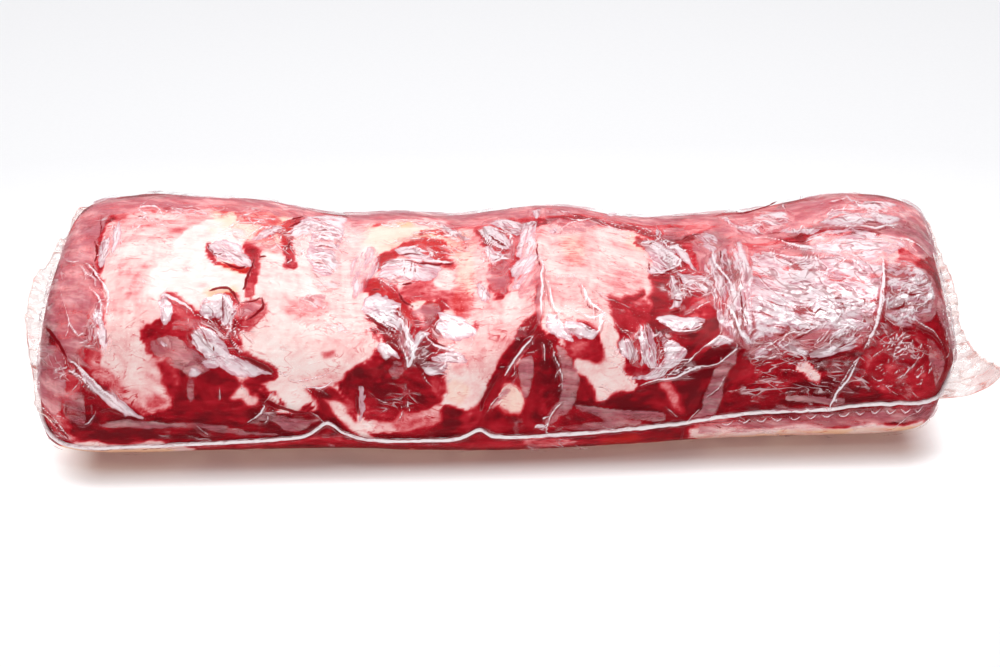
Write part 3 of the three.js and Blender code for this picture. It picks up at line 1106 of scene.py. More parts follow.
# Fat and lean: a level of 0 is deep lean and 1 is cream fat.
TONES = strokes(
    # the top rim
    ((-243, 136, 34, 5, 75, 2, 56, 4, 67, -1, 34, 1, 41, 6, 56, -8, 45, -2, 51, -1, 42, -3), 6.7, 0.4, 0.5),
    # the left end
    ((-234, 108, 3, -19, 12, -20, -14, -13), 13.3, 0.34, 0.3),
    ((-248, 45, 13, -21), 8.9, 0.42, 0.4),
    # the rump
    ((-196, 120, 3, -34, 0, -20, 5, -21), 17.2, 0.8, 0.2),
    ((-209, 125, 26, 2, 38, 4), 8.3, 0.66, 0.4),
    ((-143, 127, -17, -6, -7, -14, -10, -13, 19, 1, 20, 5), 10.6, 0.95, 0.25),
    ((-201, 55, 9, 0), 5, 0.42, 0.3),
    ((-190, 42, 10, 2, -18, 2), 5, 0.45, 0.3),
    # the shoulder of fat and the fat of the centre
    ((-124, 94, -2, -19, 12, -8), 12.2, 0.85, 0.25),
    ((-106, 130, 10, -28, 0, -29, -19, -21, -15, -7), 22.2, 0.86, 0.2),
    ((-79, 136, -3, -37, 3, -25), 13.3, 0.8, 0.25),
    # the lean along the front
    ((-221, 29, 41, 3, 41, -3, 42, -4), 8.9, 0.05, 0.25),
    # the rump
    ((-173, 43, 14, 3, 18, -4, 14, -7), 11.1, 0.12, 0.25),
    ((-160, 56, 4, -7), 8.9, 0.1, 0.25),
    ((-184, 71, 12, 6, 13, 0, 12, -7, 8, -9, 17, -6), 5, 0.2, 0.3),
    ((-183, 66, 16, -2), 5, 0.3, 0.3),
    # the swirl and the eye of the rump
    ((-176, 88, 9, -4, 7, -5), 4.4, 0.32, 0.3),
    ((-143, 89, 5, -9, -5, -11), 4.4, 0.26, 0.3),
    ((-139, 83, 13, 5, -6, -10), 3.3, 0.45, 0.3),
    ((-156, 118, 3, -7, 9, -4, 9, -1, 5, 10, -5, 3), 2.2, 0.22, 0.3),
    ((-131, 112, 1, -9, -3, -9), 2.8, 0.28, 0.3),
    ((-148, 113, 9, -2), 3.9, 0.93, 0.3),
    # the rump
    ((-137, 136, 17, -2, -7, -10), 5, 0.5, 0.5),
    ((-107, 142, -7, -12, 3, -17), 3.3, 0.25, 0.4),
    ((-133, 121, 14, 0), 3.3, 0.6, 0.4),
    # the saddle
    ((-69, 120, 6, 12, 11, 11, 24, 3), 6.1, 0.93, 0.3),
    ((-63, 119, 10, 7, 19, 6, 11, -5), 3.3, 0.24, 0.3),
    ((-38, 139, 10, 1, 8, -4), 2.2, 0.28, 0.3),
    ((-17, 134, 3, -13, -3, -21), 8.9, 0.62, 0.4),
    ((-69, 107, 10, -3, 7, -9, 3, -13), 3.9, 0.24, 0.3),
    ((-52, 100, 16, 5, 7, -5), 5, 0.4, 0.3),
    ((-40, 129, 2, -16, -8, -7), 4.4, 0.4, 0.4),
    ((-37, 94, 2, -10, -6, -6), 5.6, 0.16, 0.3),
    ((-42, 71, 12, 4, -10, -8), 5.6, 0.14, 0.3),
    ((-74, 51, 15, 8, 15, -7, 9, -6), 13.3, 0.12, 0.2),
    ((-68, 35, 18, 1), 8.9, 0.16, 0.25),
    ((-36, 35, -15, -6, -17, -3), 4.4, 0.62, 0.3),
    ((-91, 41, 9, -6, 10, -9), 3.3, 0.85, 0.3),
    ((-98, 45, 9, -3, -5, -7), 3.9, 0.14, 0.3),
    ((-23, 57, 9, -8, -14, -6), 8.9, 0.88, 0.25),
    ((-31, 75, 18, -2, -5, -9), 7.2, 0.72, 0.3),
    ((-29, 33, 11, -5), 6.1, 0.14, 0.3),
    # the waist
    ((-10, 119, 5, -20, 6, -20, -9, -13), 11.7, 0.72, 0.3),
    ((9, 137, -3, -13, -5, -18), 7.2, 0.3, 0.25),
    ((21, 131, -5, -22, -4, -13), 5.6, 0.66, 0.3),
    ((10, 102, -7, -14), 6.7, 0.74, 0.3),
    ((17, 85, -11, -12, -9, -17, -8, -20), 3.9, 0.15, 0.25),
    ((1, 44, -2, -7), 4.4, 0.86, 0.3),
    ((-3, 27, 32, 0, 42, -3), 5.6, 0.16, 0.3),
    # the rib side
    ((33, 130, -3, -30, 0, -21), 8.9, 0.74, 0.3),
    ((48, 128, 7, -16, -3, -17), 12.2, 0.74, 0.3),
    ((68, 132, 14, -1), 8.9, 0.78, 0.4),
    ((21, 71, 3, -16, -2, -16), 8.3, 0.1, 0.2),
    ((38, 70, 7, -3), 7.8, 0.18, 0.3),
    ((44, 37, 27, 2, 32, -6, -11, 14), 8.9, 0.08, 0.2),
    ((63, 97, 10, -3, -7, -9), 5.6, 0.3, 0.35),
    ((61, 70, 10, -6, 0, -10), 7.8, 0.2, 0.3),
    ((54, 81, 2, -10, 2, -7), 4.4, 0.86, 0.2),
    ((41, 59, 9, -7, 13, -4), 5, 0.84, 0.2),
    ((51, 42, 3, 6), 3.3, 0.84, 0.2),
    ((83, 134, 11, -5, 8, -7, -15, -6), 3.3, 0.2, 0.3),
    ((68, 99, 8, 6), 3.3, 0.25, 0.3),
    ((86, 48, 4, -12), 2.8, 0.58, 0.3),
    # the loin
    ((115, 127, -1, -23, -3, -20, -13, -8), 10, 0.26, 0.25),
    ((90, 90, 14, -11), 6.7, 0.14, 0.3),
    ((106, 136, 11, 0), 2.8, 0.18, 0.3),
    ((127, 50, 29, -1, 38, 0, 29, -1), 16.7, 0.06, 0.2),
    ((135, 69, 48, 1), 8.9, 0.16, 0.25),
    ((138, 122, 20, -1, -18, -20), 9.5, 0.42, 0.4),
    ((181, 118, 23, -8, 24, 5), 8.3, 0.74, 0.35),
    ((179, 102, 19, -10), 8.3, 0.5, 0.4),
    ((225, 109, 5, -6), 4.4, 0.3, 0.3),
    ((210, 91, 16, 5), 5, 0.18, 0.3),
    ((158, 53, 6, -7), 3.3, 0.8, 0.25),
    ((162, 134, 34, 1, 36, 1), 3.9, 0.62, 0.35),
    ((235, 136, 27, 17), 2.8, 0.78, 0.3),
    ((142, 153, 15, 4, 9, 2), 2.8, 0.18, 0.3),
    ((229, 126, 15, 0), 3.3, 0.16, 0.3),
    ((212, 61, 19, -3, -3, -18), 11.1, 0.14, 0.3),
    ((115, 20, 43, -2, 57, 5), 5.6, 0.28, 0.4),
    # the foot
    ((-160, 12, 68, 1, 79, -1, 85, -1), 3.3, 0.22, 0.4),
    # the fat cap
    ((-235, 3, 45, 0), 5, 0.86, 0.5),
    ((112, 1, 114, 3), 5, 0.8, 0.5),
    ((-240, -30, 480, 0), 26, 0.9, 0.3),
    ((-240, 285, 480, 0), 22, 0.9, 0.3),
)
TONE_GROUNDS = (
    *patches(
        0.81, (-213, 123, 23, 12, 28, 8, 28, -1, 27, -5, 29, 6, 14, -11, -9, -33, -6, -27, -12, -21, -21,
        -8, -15, 7, -1, 20, -6, 19, -17, 3, -28, -13, -10, -6, 5, -10, 8, -13, 2, -9, -7, -4, -10, 1, -14,
        11, -6, 10, 2, 14, -3, 24), (-90, 143, 28, 1, 23, -2, 26, -4, 4, -18, -5, -30, -4, -18, 4, -19, -5,
        -10, -15, -4, -2, 21, 9, 13, -11, 10, -15, 15, -15, 12, -11, -27, -6, 16),
    ),
    *patches(
        0.74, (29, 132, 15, 7, 18, 4, 21, -8, 5, -13, -8, -22, -8, -18, -9, -14, 3, -22, -14, -7, -6, 10, 6,
        19, -4, 11, -5, 5, -19, 1, 0, 15), (-14, 100, 8, 1, 21, -5, 3, -9, -10, -11, -10, -10, -7, -15, -6,
        -6, -3, 22, 4, 17),
    ),
)
TONE_PATCHES = (
    *patches(
        0, (-132, 31, 5, 2, 8, -3, 7, -5, -7, -3, -14, 6), (94, 60, 9, 4, 7, 6, 13, 1, -6, -5, -6, -8, -8,
        -1, -5, -3), (148, 42, 14, 3, 11, -6, 2, -7, -18, -1, -9, 2), (-251, 78, 15, -8, -12, 0), (-211, 26,
        25, -2, 26, -4, -26, -1, -27, 2), (-54, 56, 4, 0, 0, -10, -5, -3),
    ),
    *patches(
        0.05, (-83, 59, 5, 6, 4, -3, 5, -3, 4, -8, -1, -8, -7, 6, -2, 5, -5, -3, -1, -9, -2, 5), (-67, 62,
        6, 4, 7, -1, -3, -6, -6, -5, -3, 3), (21, 77, 7, -14, 1, -21, -5, -5, -3, -7, -5, -2, -1, 12, 5, 6,
        -1, 22), (-31, 38, 6, 1, 3, -7, -4, -7, -7, 2, -1, 6), (29, 41, 10, 2, 11, -4, 19, 2, 0, -12, -14,
        5, -13, 5, -14, -7), (63, 44, 13, 4, 12, 1, 10, -13, -5, -9, -16, -1, -14, 3), (94, 50, 9, 5, 9, 1,
        -7, -13, -2, -8, -9, -8), (190, 45, 10, -1, 0, -10, -9, -1, -5, 6),
    ),
    *patches(
        0.12, (-171, 51, 21, 5, 13, -7, -5, -6, 10, -12, -27, 0, -14, 2), (-103, 47, 6, 2, 9, -2, 0, -8, -8,
        -5), (-56, 54, 8, 3, 14, -11, 1, -6, -6, -2, -7, -3, -8, 10, -4, 3), (-80, 49, 3, -5, 0, -13, -2,
        -1, -1, 7), (16, 86, 4, -4, -8, -7, -8, -8, -6, -9, -3, 4, 12, 17), (15, 69, 4, -1, -1, -13, -7,
        -15, -3, -9, 6, -7, -14, 1, -7, 3, 0, 8, 9, 4, 6, 5, 5, 3), (36, 54, 6, -1, 7, -15, -10, 3, -3, 5),
        (104, 83, 10, 6, 2, -9, -3, -6, -7, -4, -8, -6, -4, 7, 7, 6), (123, 64, 26, 0, 0, -30, -24, -1, -15,
        -7, 6, 11), (207, 84, 5, 8, 6, 4, 15, 6, -11, -9, -11, -9), (220, 122, 13, 8, 11, -2, 4, -3, -19,
        -5), (158, 114, 7, -3, 8, -1, -6, -3, -7, 3), (163, 81, 8, -3, 4, 3, 4, -4, -9, -1), (181, 75, 14,
        0, 5, -1, -6, -3, -10, 0), (-41, 77, 14, -4, -12, -7, -4, -7, -3, 6),
    ),
    *patches(
        0.22, (-185, 66, 2, 5, 7, 6, 11, 3, 0, -14, -8, -1), (-74, 39, 13, -3, 4, -6, -9, 0, -8, 2), (-63,
        119, 5, 6, 17, 3, 19, -7, -8, -2, -22, 4, -10, -7), (-70, 102, 1, 7, 5, 1, 10, -10, 6, -12, -5, 1,
        -3, 8, -6, 5, -5, -2), (-38, 134, 11, -7, 3, -5, -8, 1, -4, 4), (35, 70, 10, 3, 5, -2, 3, -7, -9,
        -2, -8, 1), (58, 96, 14, 5, -3, -21, -7, -3, -4, 8), (-136, 121, 6, -2, 3, -6, -6, -3, -2, 5), (-22,
        34, 9, 7, 3, -10, -4, -7, -9, 1), (-135, 52, 6, 2, 5, -3, -4, -2), (93, 121, 4, -4, -2, -6, -3, -1,
        -2, 4), (90, 133, 6, 13, 0, -11, -5, -5), (190, 56, 10, 8, 15, 3, 16, -4, 13, -12, -3, -14, -12, -4,
        -22, 1, -15, 12),
    ),
    *patches(
        0.36, (-248, 114, 15, 15, 12, 4, 5, -27, 5, -14, -1, -14, -9, -12, -9, 8, -9, 16), (-182, 59, 10, 1,
        2, -11, -7, 2, -3, 4), (-83, 45, 3, -5, 2, -13, -6, 6, -2, 6), (-38, 57, 7, -2, 1, -7, -4, -6, -4,
        7), (222, 111, 9, 1, 3, -6, -11, -4, -5, 2), (153, 96, 8, 4, 3, -5, -6, -3, -4, -1), (-204, 55, 5,
        4, 6, -1, 2, -6, -5, -6, -6, 3), (70, 99, 8, 3, -4, -9, -4, 1), (-95, 69, 6, 2, 0, -4, -5, -1),
    ),
    *patches(
        0.76, (-209, 68, 14, 1, 9, -5, 10, -17, 2, -6, -6, -4, -8, 0, -18, 13, -5, 7), (-107, 54, 22, 10, 5,
        10, 6, 3, 5, -7, -13, -11, -9, -9, -11, -1),
    ),
    *patches(
        0.69, (-211, 127, 9, 6, 12, 2, -1, -8, -10, -9, -7, -6), (-184, 135, 16, 4, 15, 1, -8, -9, -13, -5,
        -11, 3), (-204, 106, 12, 3, 7, -7, -6, -11, -9, -5, -4, 9), (-111, 93, 11, 5, 10, -1, -4, -11, -12,
        -3, -7, 2), (37, 127, 14, 6, 8, -6, -8, -11, -13, -4, -5, 7), (59, 113, 15, 7, 6, -6, -7, -11, -12,
        -4, -6, 5),
    ),
    *patches(
        0.5, (-127, 144, 12, 3, 16, 10, 14, 3, -1, -11, -21, -6, -16, -3), (-215, 141, 24, 4, 28, 6, 28, -4,
        8, -6, -18, -1, -17, 1, -40, -8, -8, -2), (131, 143, 13, 9, 11, -4, 6, -9, -7, -8, -13, -2, -10, 4),
        (-215, 61, 17, -11, 8, -5, 2, -11, -8, 7, -10, 6, -8, 8), (-55, 36, 9, -1, 10, 2, 2, -6, -8, -4,
        -11, -4, -7, 3), (-28, 106, 8, 2, 6, -8, -4, -11, -8, 5), (82, 48, 5, 1, 5, -10, 3, -10, -5, 3), (8,
        18, 13, 1, 17, -5, -8, -5, -16, 2), (98, 25, 27, -4, 2, -15, -12, 6, -11, 0), (-190, 45, 13, -1, 1,
        -3, -9, -3),
    ),
    *patches(
        0.84, (-136, 51, 3, -5, 5, -4, -4, -4, -6, 4, -4, 1), (-29, 55, 11, 3, 6, -6, 0, -9, -7, -5, -7, 1,
        -5, 6), (-94, 40, 8, 0, 6, -10, 14, -14, -7, 1, -8, 7), (0, 50, 6, 0, 3, -8, -1, -6, -6, -2, -4, 5),
        (38, 61, 6, 1, 6, -1, 4, 2, 6, -5, 7, -13, -7, -2, -12, -4, -1, 10), (52, 82, 5, 0, 1, -11, 2, -8,
        -6, 1, -2, 7), (157, 50, 2, 4, 4, -5, 4, -7, -6, 2), (98, 17, 17, 1, 22, -4, 21, 4, 23, -5, 16, 5,
        24, -6, 12, 2, 8, -8, -21, -4, -81, -1, -33, 0), (-238, 8, 19, 9, 17, -2, 16, 3, 14, -5, 9, -6, -9,
        -7, -21, 1, -27, 0),
    ),
)
# Where the meat is bright red and the fat is yellow, from a level of 0 to 1.
WARMTH = strokes(
    ((-143, 139, 21, -5), 12, 0.55, 0.8),
    ((-60, 135, 38, -2), 10, 0.4, 0.8),
    ((-235, 3, 45, 0), 6, 0.8, 0.6),
    ((112, 1, 114, 3), 6, 0.8, 0.6),
    ((-240, -30, 480, 0), 28, 0.6, 0.3),
    ((-240, 285, 480, 0), 24, 0.6, 0.3),
)
WARM_PATCHES = (
    *patches(
        0.95, (-149, 108, 8, -1, 7, -1, -4, -3, -7, 1), (-40, 140, 12, 1, 0, -4, -10, -1), (-156, 92, 6, 2,
        9, 1, 1, -3, -12, -3), (-53, 146, 10, 0, -3, -5, -6, 0), (141, 152, 20, 7, 8, 5, -7, -14, -13, -1),
        (-219, 12, 16, -3, 27, 1, -4, -9, -24, 0), (148, 12, 44, 0, 42, -3, 5, -4, -44, -4, -45, 0),
    ),
    *patches(
        0.3, (-142, 143, 14, 4, 12, -6, -7, -8, -13, -4, -6, 4), (-141, 127, 7, 1, 4, -5, -7, -2), (-63,
        119, 5, 6, 17, 3, 19, -7, -8, -2, -22, 4, -10, -7), (-70, 102, 1, 7, 5, 1, 10, -10, 6, -12, -5, 1,
        -9, 13, -5, -2), (-21, 127, 8, 0, 1, -11, -4, -16, -6, -10, -5, 10, 6, 14), (-50, 98, 13, 2, 5, -2,
        -8, -3), (-31, 52, 7, 4, 6, -8, -6, -8, -6, 3), (0, 50, 6, 0, 3, -8, -1, -6, -6, -2, -4, 5), (105,
        10, 16, 1, 5, -10, -26, 1), (147, 9, 12, 2, 24, -9, 7, 10, 15, -1, 19, -9, 13, 2, -17, -2, -48, -1),
        (53, 14, 17, 2, 1, -15, -15, 0), (37, 129, 13, 1, -4, -15, -8, 2), (76, 139, 14, 0, -3, -10, -11,
        0),
    ),
)

# Juice and haze under the film: mauve washes, more opaque from a level of 0.3 to 0.6.
WASH_STROKES = strokes(
    ((-236, 135, 27, 3, 75, 4, 56, 5, 73, -1, 91, 5, 68, -7, 80, -2), 5, 0.46, 0.6),
    ((-246, 91, -2, -21, -4, -26), 5.6, 0.45, 0.3),
    ((238, 90, 11, -19, 19, -25), 3.3, 0.4, 0.3),
    ((50, 33, 32, -5), 2.8, 0.42, 0.2),
    ((151, 35, 28, -2), 2.2, 0.4, 0.2),
)
WASHES = (
    *patches(
        0.4, (-231, 46, 10, 0, 2, -3, -2, -15, -5, 2, -4, 1, -2, 9), (-235, 126, 14, 3, 4, -22, -7, 0, -20,
        7), (-239, 108, 13, -2, 6, -10, 7, -7, 1, -10, -8, -6, -7, 3, -6, 11, -6, 9), (-170, 79, 12, 0, 8,
        -3, -8, -1, -14, -2), (-213, 30, 17, 3, 29, -3, 8, 1, 11, -3, 14, -4, 19, -3, -16, 0, -21, 3, -13,
        3, -42, 1), (-127, 37, 19, -6, 11, -1, -10, -6, -7, 0, -9, 7, -8, 0), (-165, 54, 3, 1, 0, -12, -3,
        -1), (-107, 95, 15, 5, -5, -10, -9, -2), (-36, 98, 4, -2, -2, -6, -5, -4, -9, 5), (-58, 65, 4, 0, 2,
        -6, -4, -4, -4, 3), (-83, 147, 9, 1, 7, -7, -7, -5, -8, 3), (8, 128, 10, 3, -5, -8, -3, -6, -4, -4,
        0, -12, -6, 0, -4, 3, -2, 8, 5, 5, 7, 2), (11, 104, 9, 5, -1, -9, -7, -3, -3, 2), (37, 38, 9, -1,
        10, -4, 12, -6, -7, -2, -19, 8), (30, 27, 20, 1, 19, 0, 0, -5, -24, -1), (99, 144, 10, -2, 3, -5,
        -14, -6, -2, 4), (117, 133, 5, -4, -1, -10, 3, -15, -4, -5, -16, -6, -8, -4, 5, 7, 16, 7, 0, 4, -4,
        5, -1, 9), (123, 119, 4, -4, 3, -7, -1, -12, 2, -15, -4, -3, -3, 10, 1, 18), (145, 165, 11, 0, 5,
        -17, -8, -4, -7, 3), (231, 63, 15, -10, -3, -11, -7, -4, -5, 11), (144, 32, 13, -3, 13, 2, 1, -3,
        -14, -1, -13, 1), (241, 159, 17, -2, 9, -22, 0, -19, -14, 2, -7, 9, -11, 9), (249, 85, 19, -13, 0,
        -22, -9, -3, -10, 16, -8, 13), (31, 141, 16, -3, 15, 5, -10, -10, -15, -5, -6, 5),
    ),
    *patches(
        0.42, (104, 21, 86, 7, 37, 0, 22, -5, 2, -10, -35, 6, -24, -2, -34, -1, -27, -2, -27, -1),
    ),
    *patches(
        0.44, (-184, 68, 8, 2, 10, -2, 13, -9, -5, -5, -9, 1, -15, 7), (113, 120, 13, 6, 16, -3, 27, -1, 30,
        -10, 10, -8, -4, -20, -9, -15, -13, -9, -27, 2, -21, -3, -10, 10, -8, 17, -6, 13), (210, 104, 14, 0,
        18, -5, 7, -14, -16, -12, -17, -3, -12, 5, 0, 14), (-78, 121, 11, 6, 4, -7, -13, -21, -3, 11),
    ),
    *patches(
        0.52, (-256, 67, 21, -2, 3, -10, -6, -11, -11, -6, -6, 13), (-254, 100, 15, -2, 5, -11, 4, -11, -7,
        -5, -12, 9), (-236, 135, 9, 13, 11, 2, 0, -14, -5, -7, -9, -3), (-245, 113, 8, 12, 6, 6, 0, -13, -3,
        -8), (-211, 148, 19, -1, 29, 6, 23, -3, -22, -9, -29, -2, -16, -1), (-231, 64, 6, 1, 10, -8, -7, 2,
        -7, 1), (-129, 147, 17, 5, 22, 12, -17, -19, -16, -4), (-81, 164, 54, 0, 23, -7, -23, -5, -23, -4,
        -28, 2), (66, 151, 52, 12, 22, -5, -19, -9, -29, 0, -22, -3), (179, 154, 17, -1, 17, -1, -8, -7,
        -17, 0), (27, 70, 5, -3, 6, -13, -3, -17, -10, -7, -4, -4, 0, 4, 3, 7, 4, 5, 1, 10), (123, 69, -1,
        -10, -5, -11, -5, -20, -6, -5, -8, 1, 6, 7, 5, 19, 5, 10), (-56, 82, 3, 3, 5, -10, -2, -13, -2, 6,
        -3, 6), (-139, 83, 5, 4, 6, 1, 3, -1, -11, -7), (115, 86, 4, 2, 2, -7, 3, -11, -9, 6), (-11, 35, 8,
        9, 9, 12, -4, -9, -9, -11), (7, 64, 7, 3, 1, -9, -2, -9, -2, -6, -3, 4), (185, 102, 8, -3, 10, -5,
        -3, -6, -14, 8), (22, 114, 1, -3, -1, -16, -2, -12, -2, 1, 1, 16),
    ),
    *patches(
        0.55, (-248, 114, -4, 16, 21, 2, 10, 3, 7, 3, -1, -8, -4, -8, 2, -15, 8, -20, -2, -8, -4, -10, -8,
        -5, -11, 3, -9, 13, -2, 16), (-256, 70, 19, -3, 7, -8, -3, -22, -8, -3, -11, 6, -11, 11), (-232,
        156, 28, -9, 29, 4, 35, -1, 33, 5, 21, 9, -21, -21, -33, -3, -33, 0, -29, -2, -19, -2), (-81, 164,
        31, -7, 23, 3, 34, -6, 26, 1, 32, 8, -26, -21, -33, 3, -34, 4, -28, -2, -22, 1), (111, 134, 26, 10,
        10, 10, 25, -3, 33, -7, 29, -1, 27, 4, 6, -20, -26, -20, -17, 7, -21, 8, -33, 4, -37, -2, -12, -5,
        -8, 1),
    ),
)
# Trapped air with painted reflections of the soft boxes: lavender white pockets, whole at a level of 1 and
# torn into streaks at 0.65.
POCKETS_AND_SHEEN = (
    *patches(
        0.72, (-102, 144, 19, 8, 1, -14, -6, -22, -4, -6, -6, 2, -5, 6, 3, 11), turn=-5,
    ),
    *patches(
        0.97, (-226, 60, 3, -1, 12, -9, 11, -6, 11, -10, -6, 2, -6, 1, -18, 15, -3, 5), (-52, 86, 3, -2, 2,
        -7, -3, -4, -2, 7), (-44, 82, 5, -1, -6, -7, -3, -7, -1, 6), (123, 98, 4, 7, 0, -19, 2, -10, 2, -5,
        -4, 1, -7, 17, -5, 6, 4, 0), (-180, 69, 2, -1, 3, -2, -2, 0), (-54, 125, 8, 1, 14, -6, -9, -1, -9,
        2), (-158, 60, 6, 1, 5, -2, -1, -2, -7, 0), (22, 84, 3, 3, 8, -9, 3, -7, -12, 6),
    ),
    *patches(
        0.9, (-208, 129, 3, -6, 0, -8, -3, -3, -1, 8), (-180, 87, 3, 2, 3, -2, 1, -7, -4, -5), (-133, 121,
        6, 5, 10, 5, -2, -5, -8, -4), (-146, 91, 4, -2, 3, -7, -3, -4, -2, -4, -3, 5, 1, 5), (-163, 71, 4,
        4, 5, 0, 4, -3, 11, -11, 19, -6, -6, -1, -6, -2, -11, 2, -16, 11, -3, 2), (-72, 99, 7, 2, 12, -5,
        -3, -3, 1, -4, 4, -7, -17, 8, -6, 4), (-33, 92, 12, -2, 7, -10, -16, -1, -6, 3, 3, 5), (-42, 60, 6,
        4, 6, 0, -4, -4, -5, -2), (-38, 67, 8, 5, 7, -2, 3, -5, -15, 0), (-29, 143, 5, -2, 12, -9, -7, 2,
        -6, 3), (-7, 138, 6, 1, 10, -11, -2, -4, -4, 1, -8, 7), (-6, 129, 8, -7, 5, -3, -6, -2, -4, 2), (6,
        112, 5, 4, 11, 0, -3, -6, -9, -7, -4, 0, 2, 5), (-11, 109, 6, -9, -6, -2), (33, 82, 8, -2, 8, -4,
        -4, -4, -12, 5), (82, 132, 8, 2, 12, -11, -15, -6, -4, 1, 4, 6), (96, 146, -2, -11, 4, -5, 7, -2, 5,
        -9, -9, 7, -6, 4, -2, 7), (96, 117, 2, -15, -2, -5, -6, -3, 4, 7, -1, 8), (82, 88, 6, 2, 20, -3, -7,
        -5, -12, 0), (103, 69, 7, 4, 5, 4, 8, -7, -13, 1), (165, 84, -13, -5, -8, -1, 1, 7, 8, 0), (161, 61,
        6, 2, 7, 0, 9, 1, 4, -2, -17, -4, -8, 1), (217, 95, 15, 5, 1, -7, 4, -6, -16, 3), (218, 82, 4, 0,
        10, 3, -7, -8, -7, -2, -6, 3),
    ),
    *patches(
        0.8, (-151, 120, 5, 1, 7, -2, 4, -4, 3, -7, -3, -3, -15, 4, -6, 6), (-217, 119, 7, 0, -1, -8, -3,
        -5, -3, 7), (-105, 140, 9, 3, -4, -9, -7, -5, -5, -2), (-159, 83, 3, 5, 10, 3, 2, -4, -2, -5, 1, -4,
        -5, 3, -5, -1), (-62, 116, 7, 3, 17, 0, 8, -1, -3, -6, -7, -4, -5, 1, -12, -1, -7, 3), (-66, 73, 4,
        3, 8, -9, -4, 0, -5, -1), (-2, 141, 8, 2, 8, -3, 3, -4, -4, -6, -10, 8), (72, 84, 6, -2, 2, -20, -6,
        -2, -3, 10), (82, 80, 13, -10, -3, -8, -6, -5, -6, -5, -14, 0, 8, 3, 8, 8, 2, 7), (99, 118, 7, -4,
        5, -1, 7, -9, -15, 0), (130, 124, 7, 3, 0, -9, 1, -11, -4, -11, -3, -21, -3, 10, 3, 24), (131, 73,
        5, 5, 14, 2, 0, -4, -10, -1, -6, -4), (134, 150, 4, -9, 5, -4, 9, 0, -6, -5, -11, 9), (162, 90, 6,
        1, 4, -4, -4, -7, -4, -1, -2, 6), (180, 87, 9, -1, 9, -6, -7, -3, -8, 0, -4, 5), (179, 74, 8, -1, 7,
        -2, -6, -1, -6, 2), (144, 69, 7, -1, 9, -6, -4, -2, -8, 3), (178, 67, 7, 0, 3, -1, -6, -2), (170,
        69, 8, 3, 6, -2, -8, -2), (204, 83, 11, 6, 3, -3, -6, -6, -6, -1), (182, 131, 14, 4, 18, -7, -12,
        -4, -11, 2), (204, 148, 5, -8, 13, 3, 10, -1, -13, -8, -10, 1, -5, 4), (211, 131, 14, 1, 6, -2, -13,
        -5), (67, 155, 7, 3, -4, -7), (24, 146, 5, 3, -3, -10), (30, 131, 6, 2, -2, -4), (61, 72, 4, 3, 4,
        -6, -3, -5, -6, 3), (131, 63, 5, 3, 3, -3, -6, -3), (-165, 54, 3, 3, 4, -2, -4, -3), (15, 27, 4, 2,
        4, -3, -4, -1),
    ),
    *patches(
        0.62, (115, 120, 12, 5, 9, -4, -2, -19, -4, -23, -8, -4, -7, 10, -1, 13), (212, 104, 12, 0, 13, -6,
        4, -13, -13, -9, -15, 1, -6, 7), (-78, 120, 10, 6, 4, -9, -7, -9, -5, -8, -3, 9),
    ),
    # The glare over the loin: a painted reflection of the soft boxes, streaked at a slant.
    *patches(
        0.74, (142, 121, 16, -5, 13, -6, 14, -3, 12, -4, 9, -5, -5, -14, -6, -11, -12, -3, -20, 4, -13, 0,
        -15, 0, -1, 22), turn=-20,
    ),
    *patches(
        0.7, (141, 119, 17, -5, 12, -6, 15, -1, 11, -5, 9, -6, -3, -7, -10, -5, -26, 7, -15, -7, -16, -1, 0,
        13), turn=-24,
    ),
    *patches(
        0.95, (171, 118, 9, 3, 32, -4, 11, -4, -14, -6, -18, 0, -13, 3),
    ),
    *patches(
        0.66, (-216, 79, 5, 3, 4, -16, -6, 3, -3, 4), (18, 137, 8, 1, -3, -11, -2, -9, -10, 1), (168, 119,
        10, 5, 25, -2, 11, -5, 13, -3, -12, -7, -13, -4, -29, 9), (204, 76, 9, 2, 14, -4, -7, -3, -10, 1),
        (112, 137, 9, -1, 5, -4, -5, -7, -4, 6), (159, 131, 8, 1, 7, -4, 9, -1, -7, -2), (-76, 51, 2, -1, 0,
        -11, -1, -8, -2, 1), (155, 149, 13, -7, -3, -7, -12, 3),
    ),
)
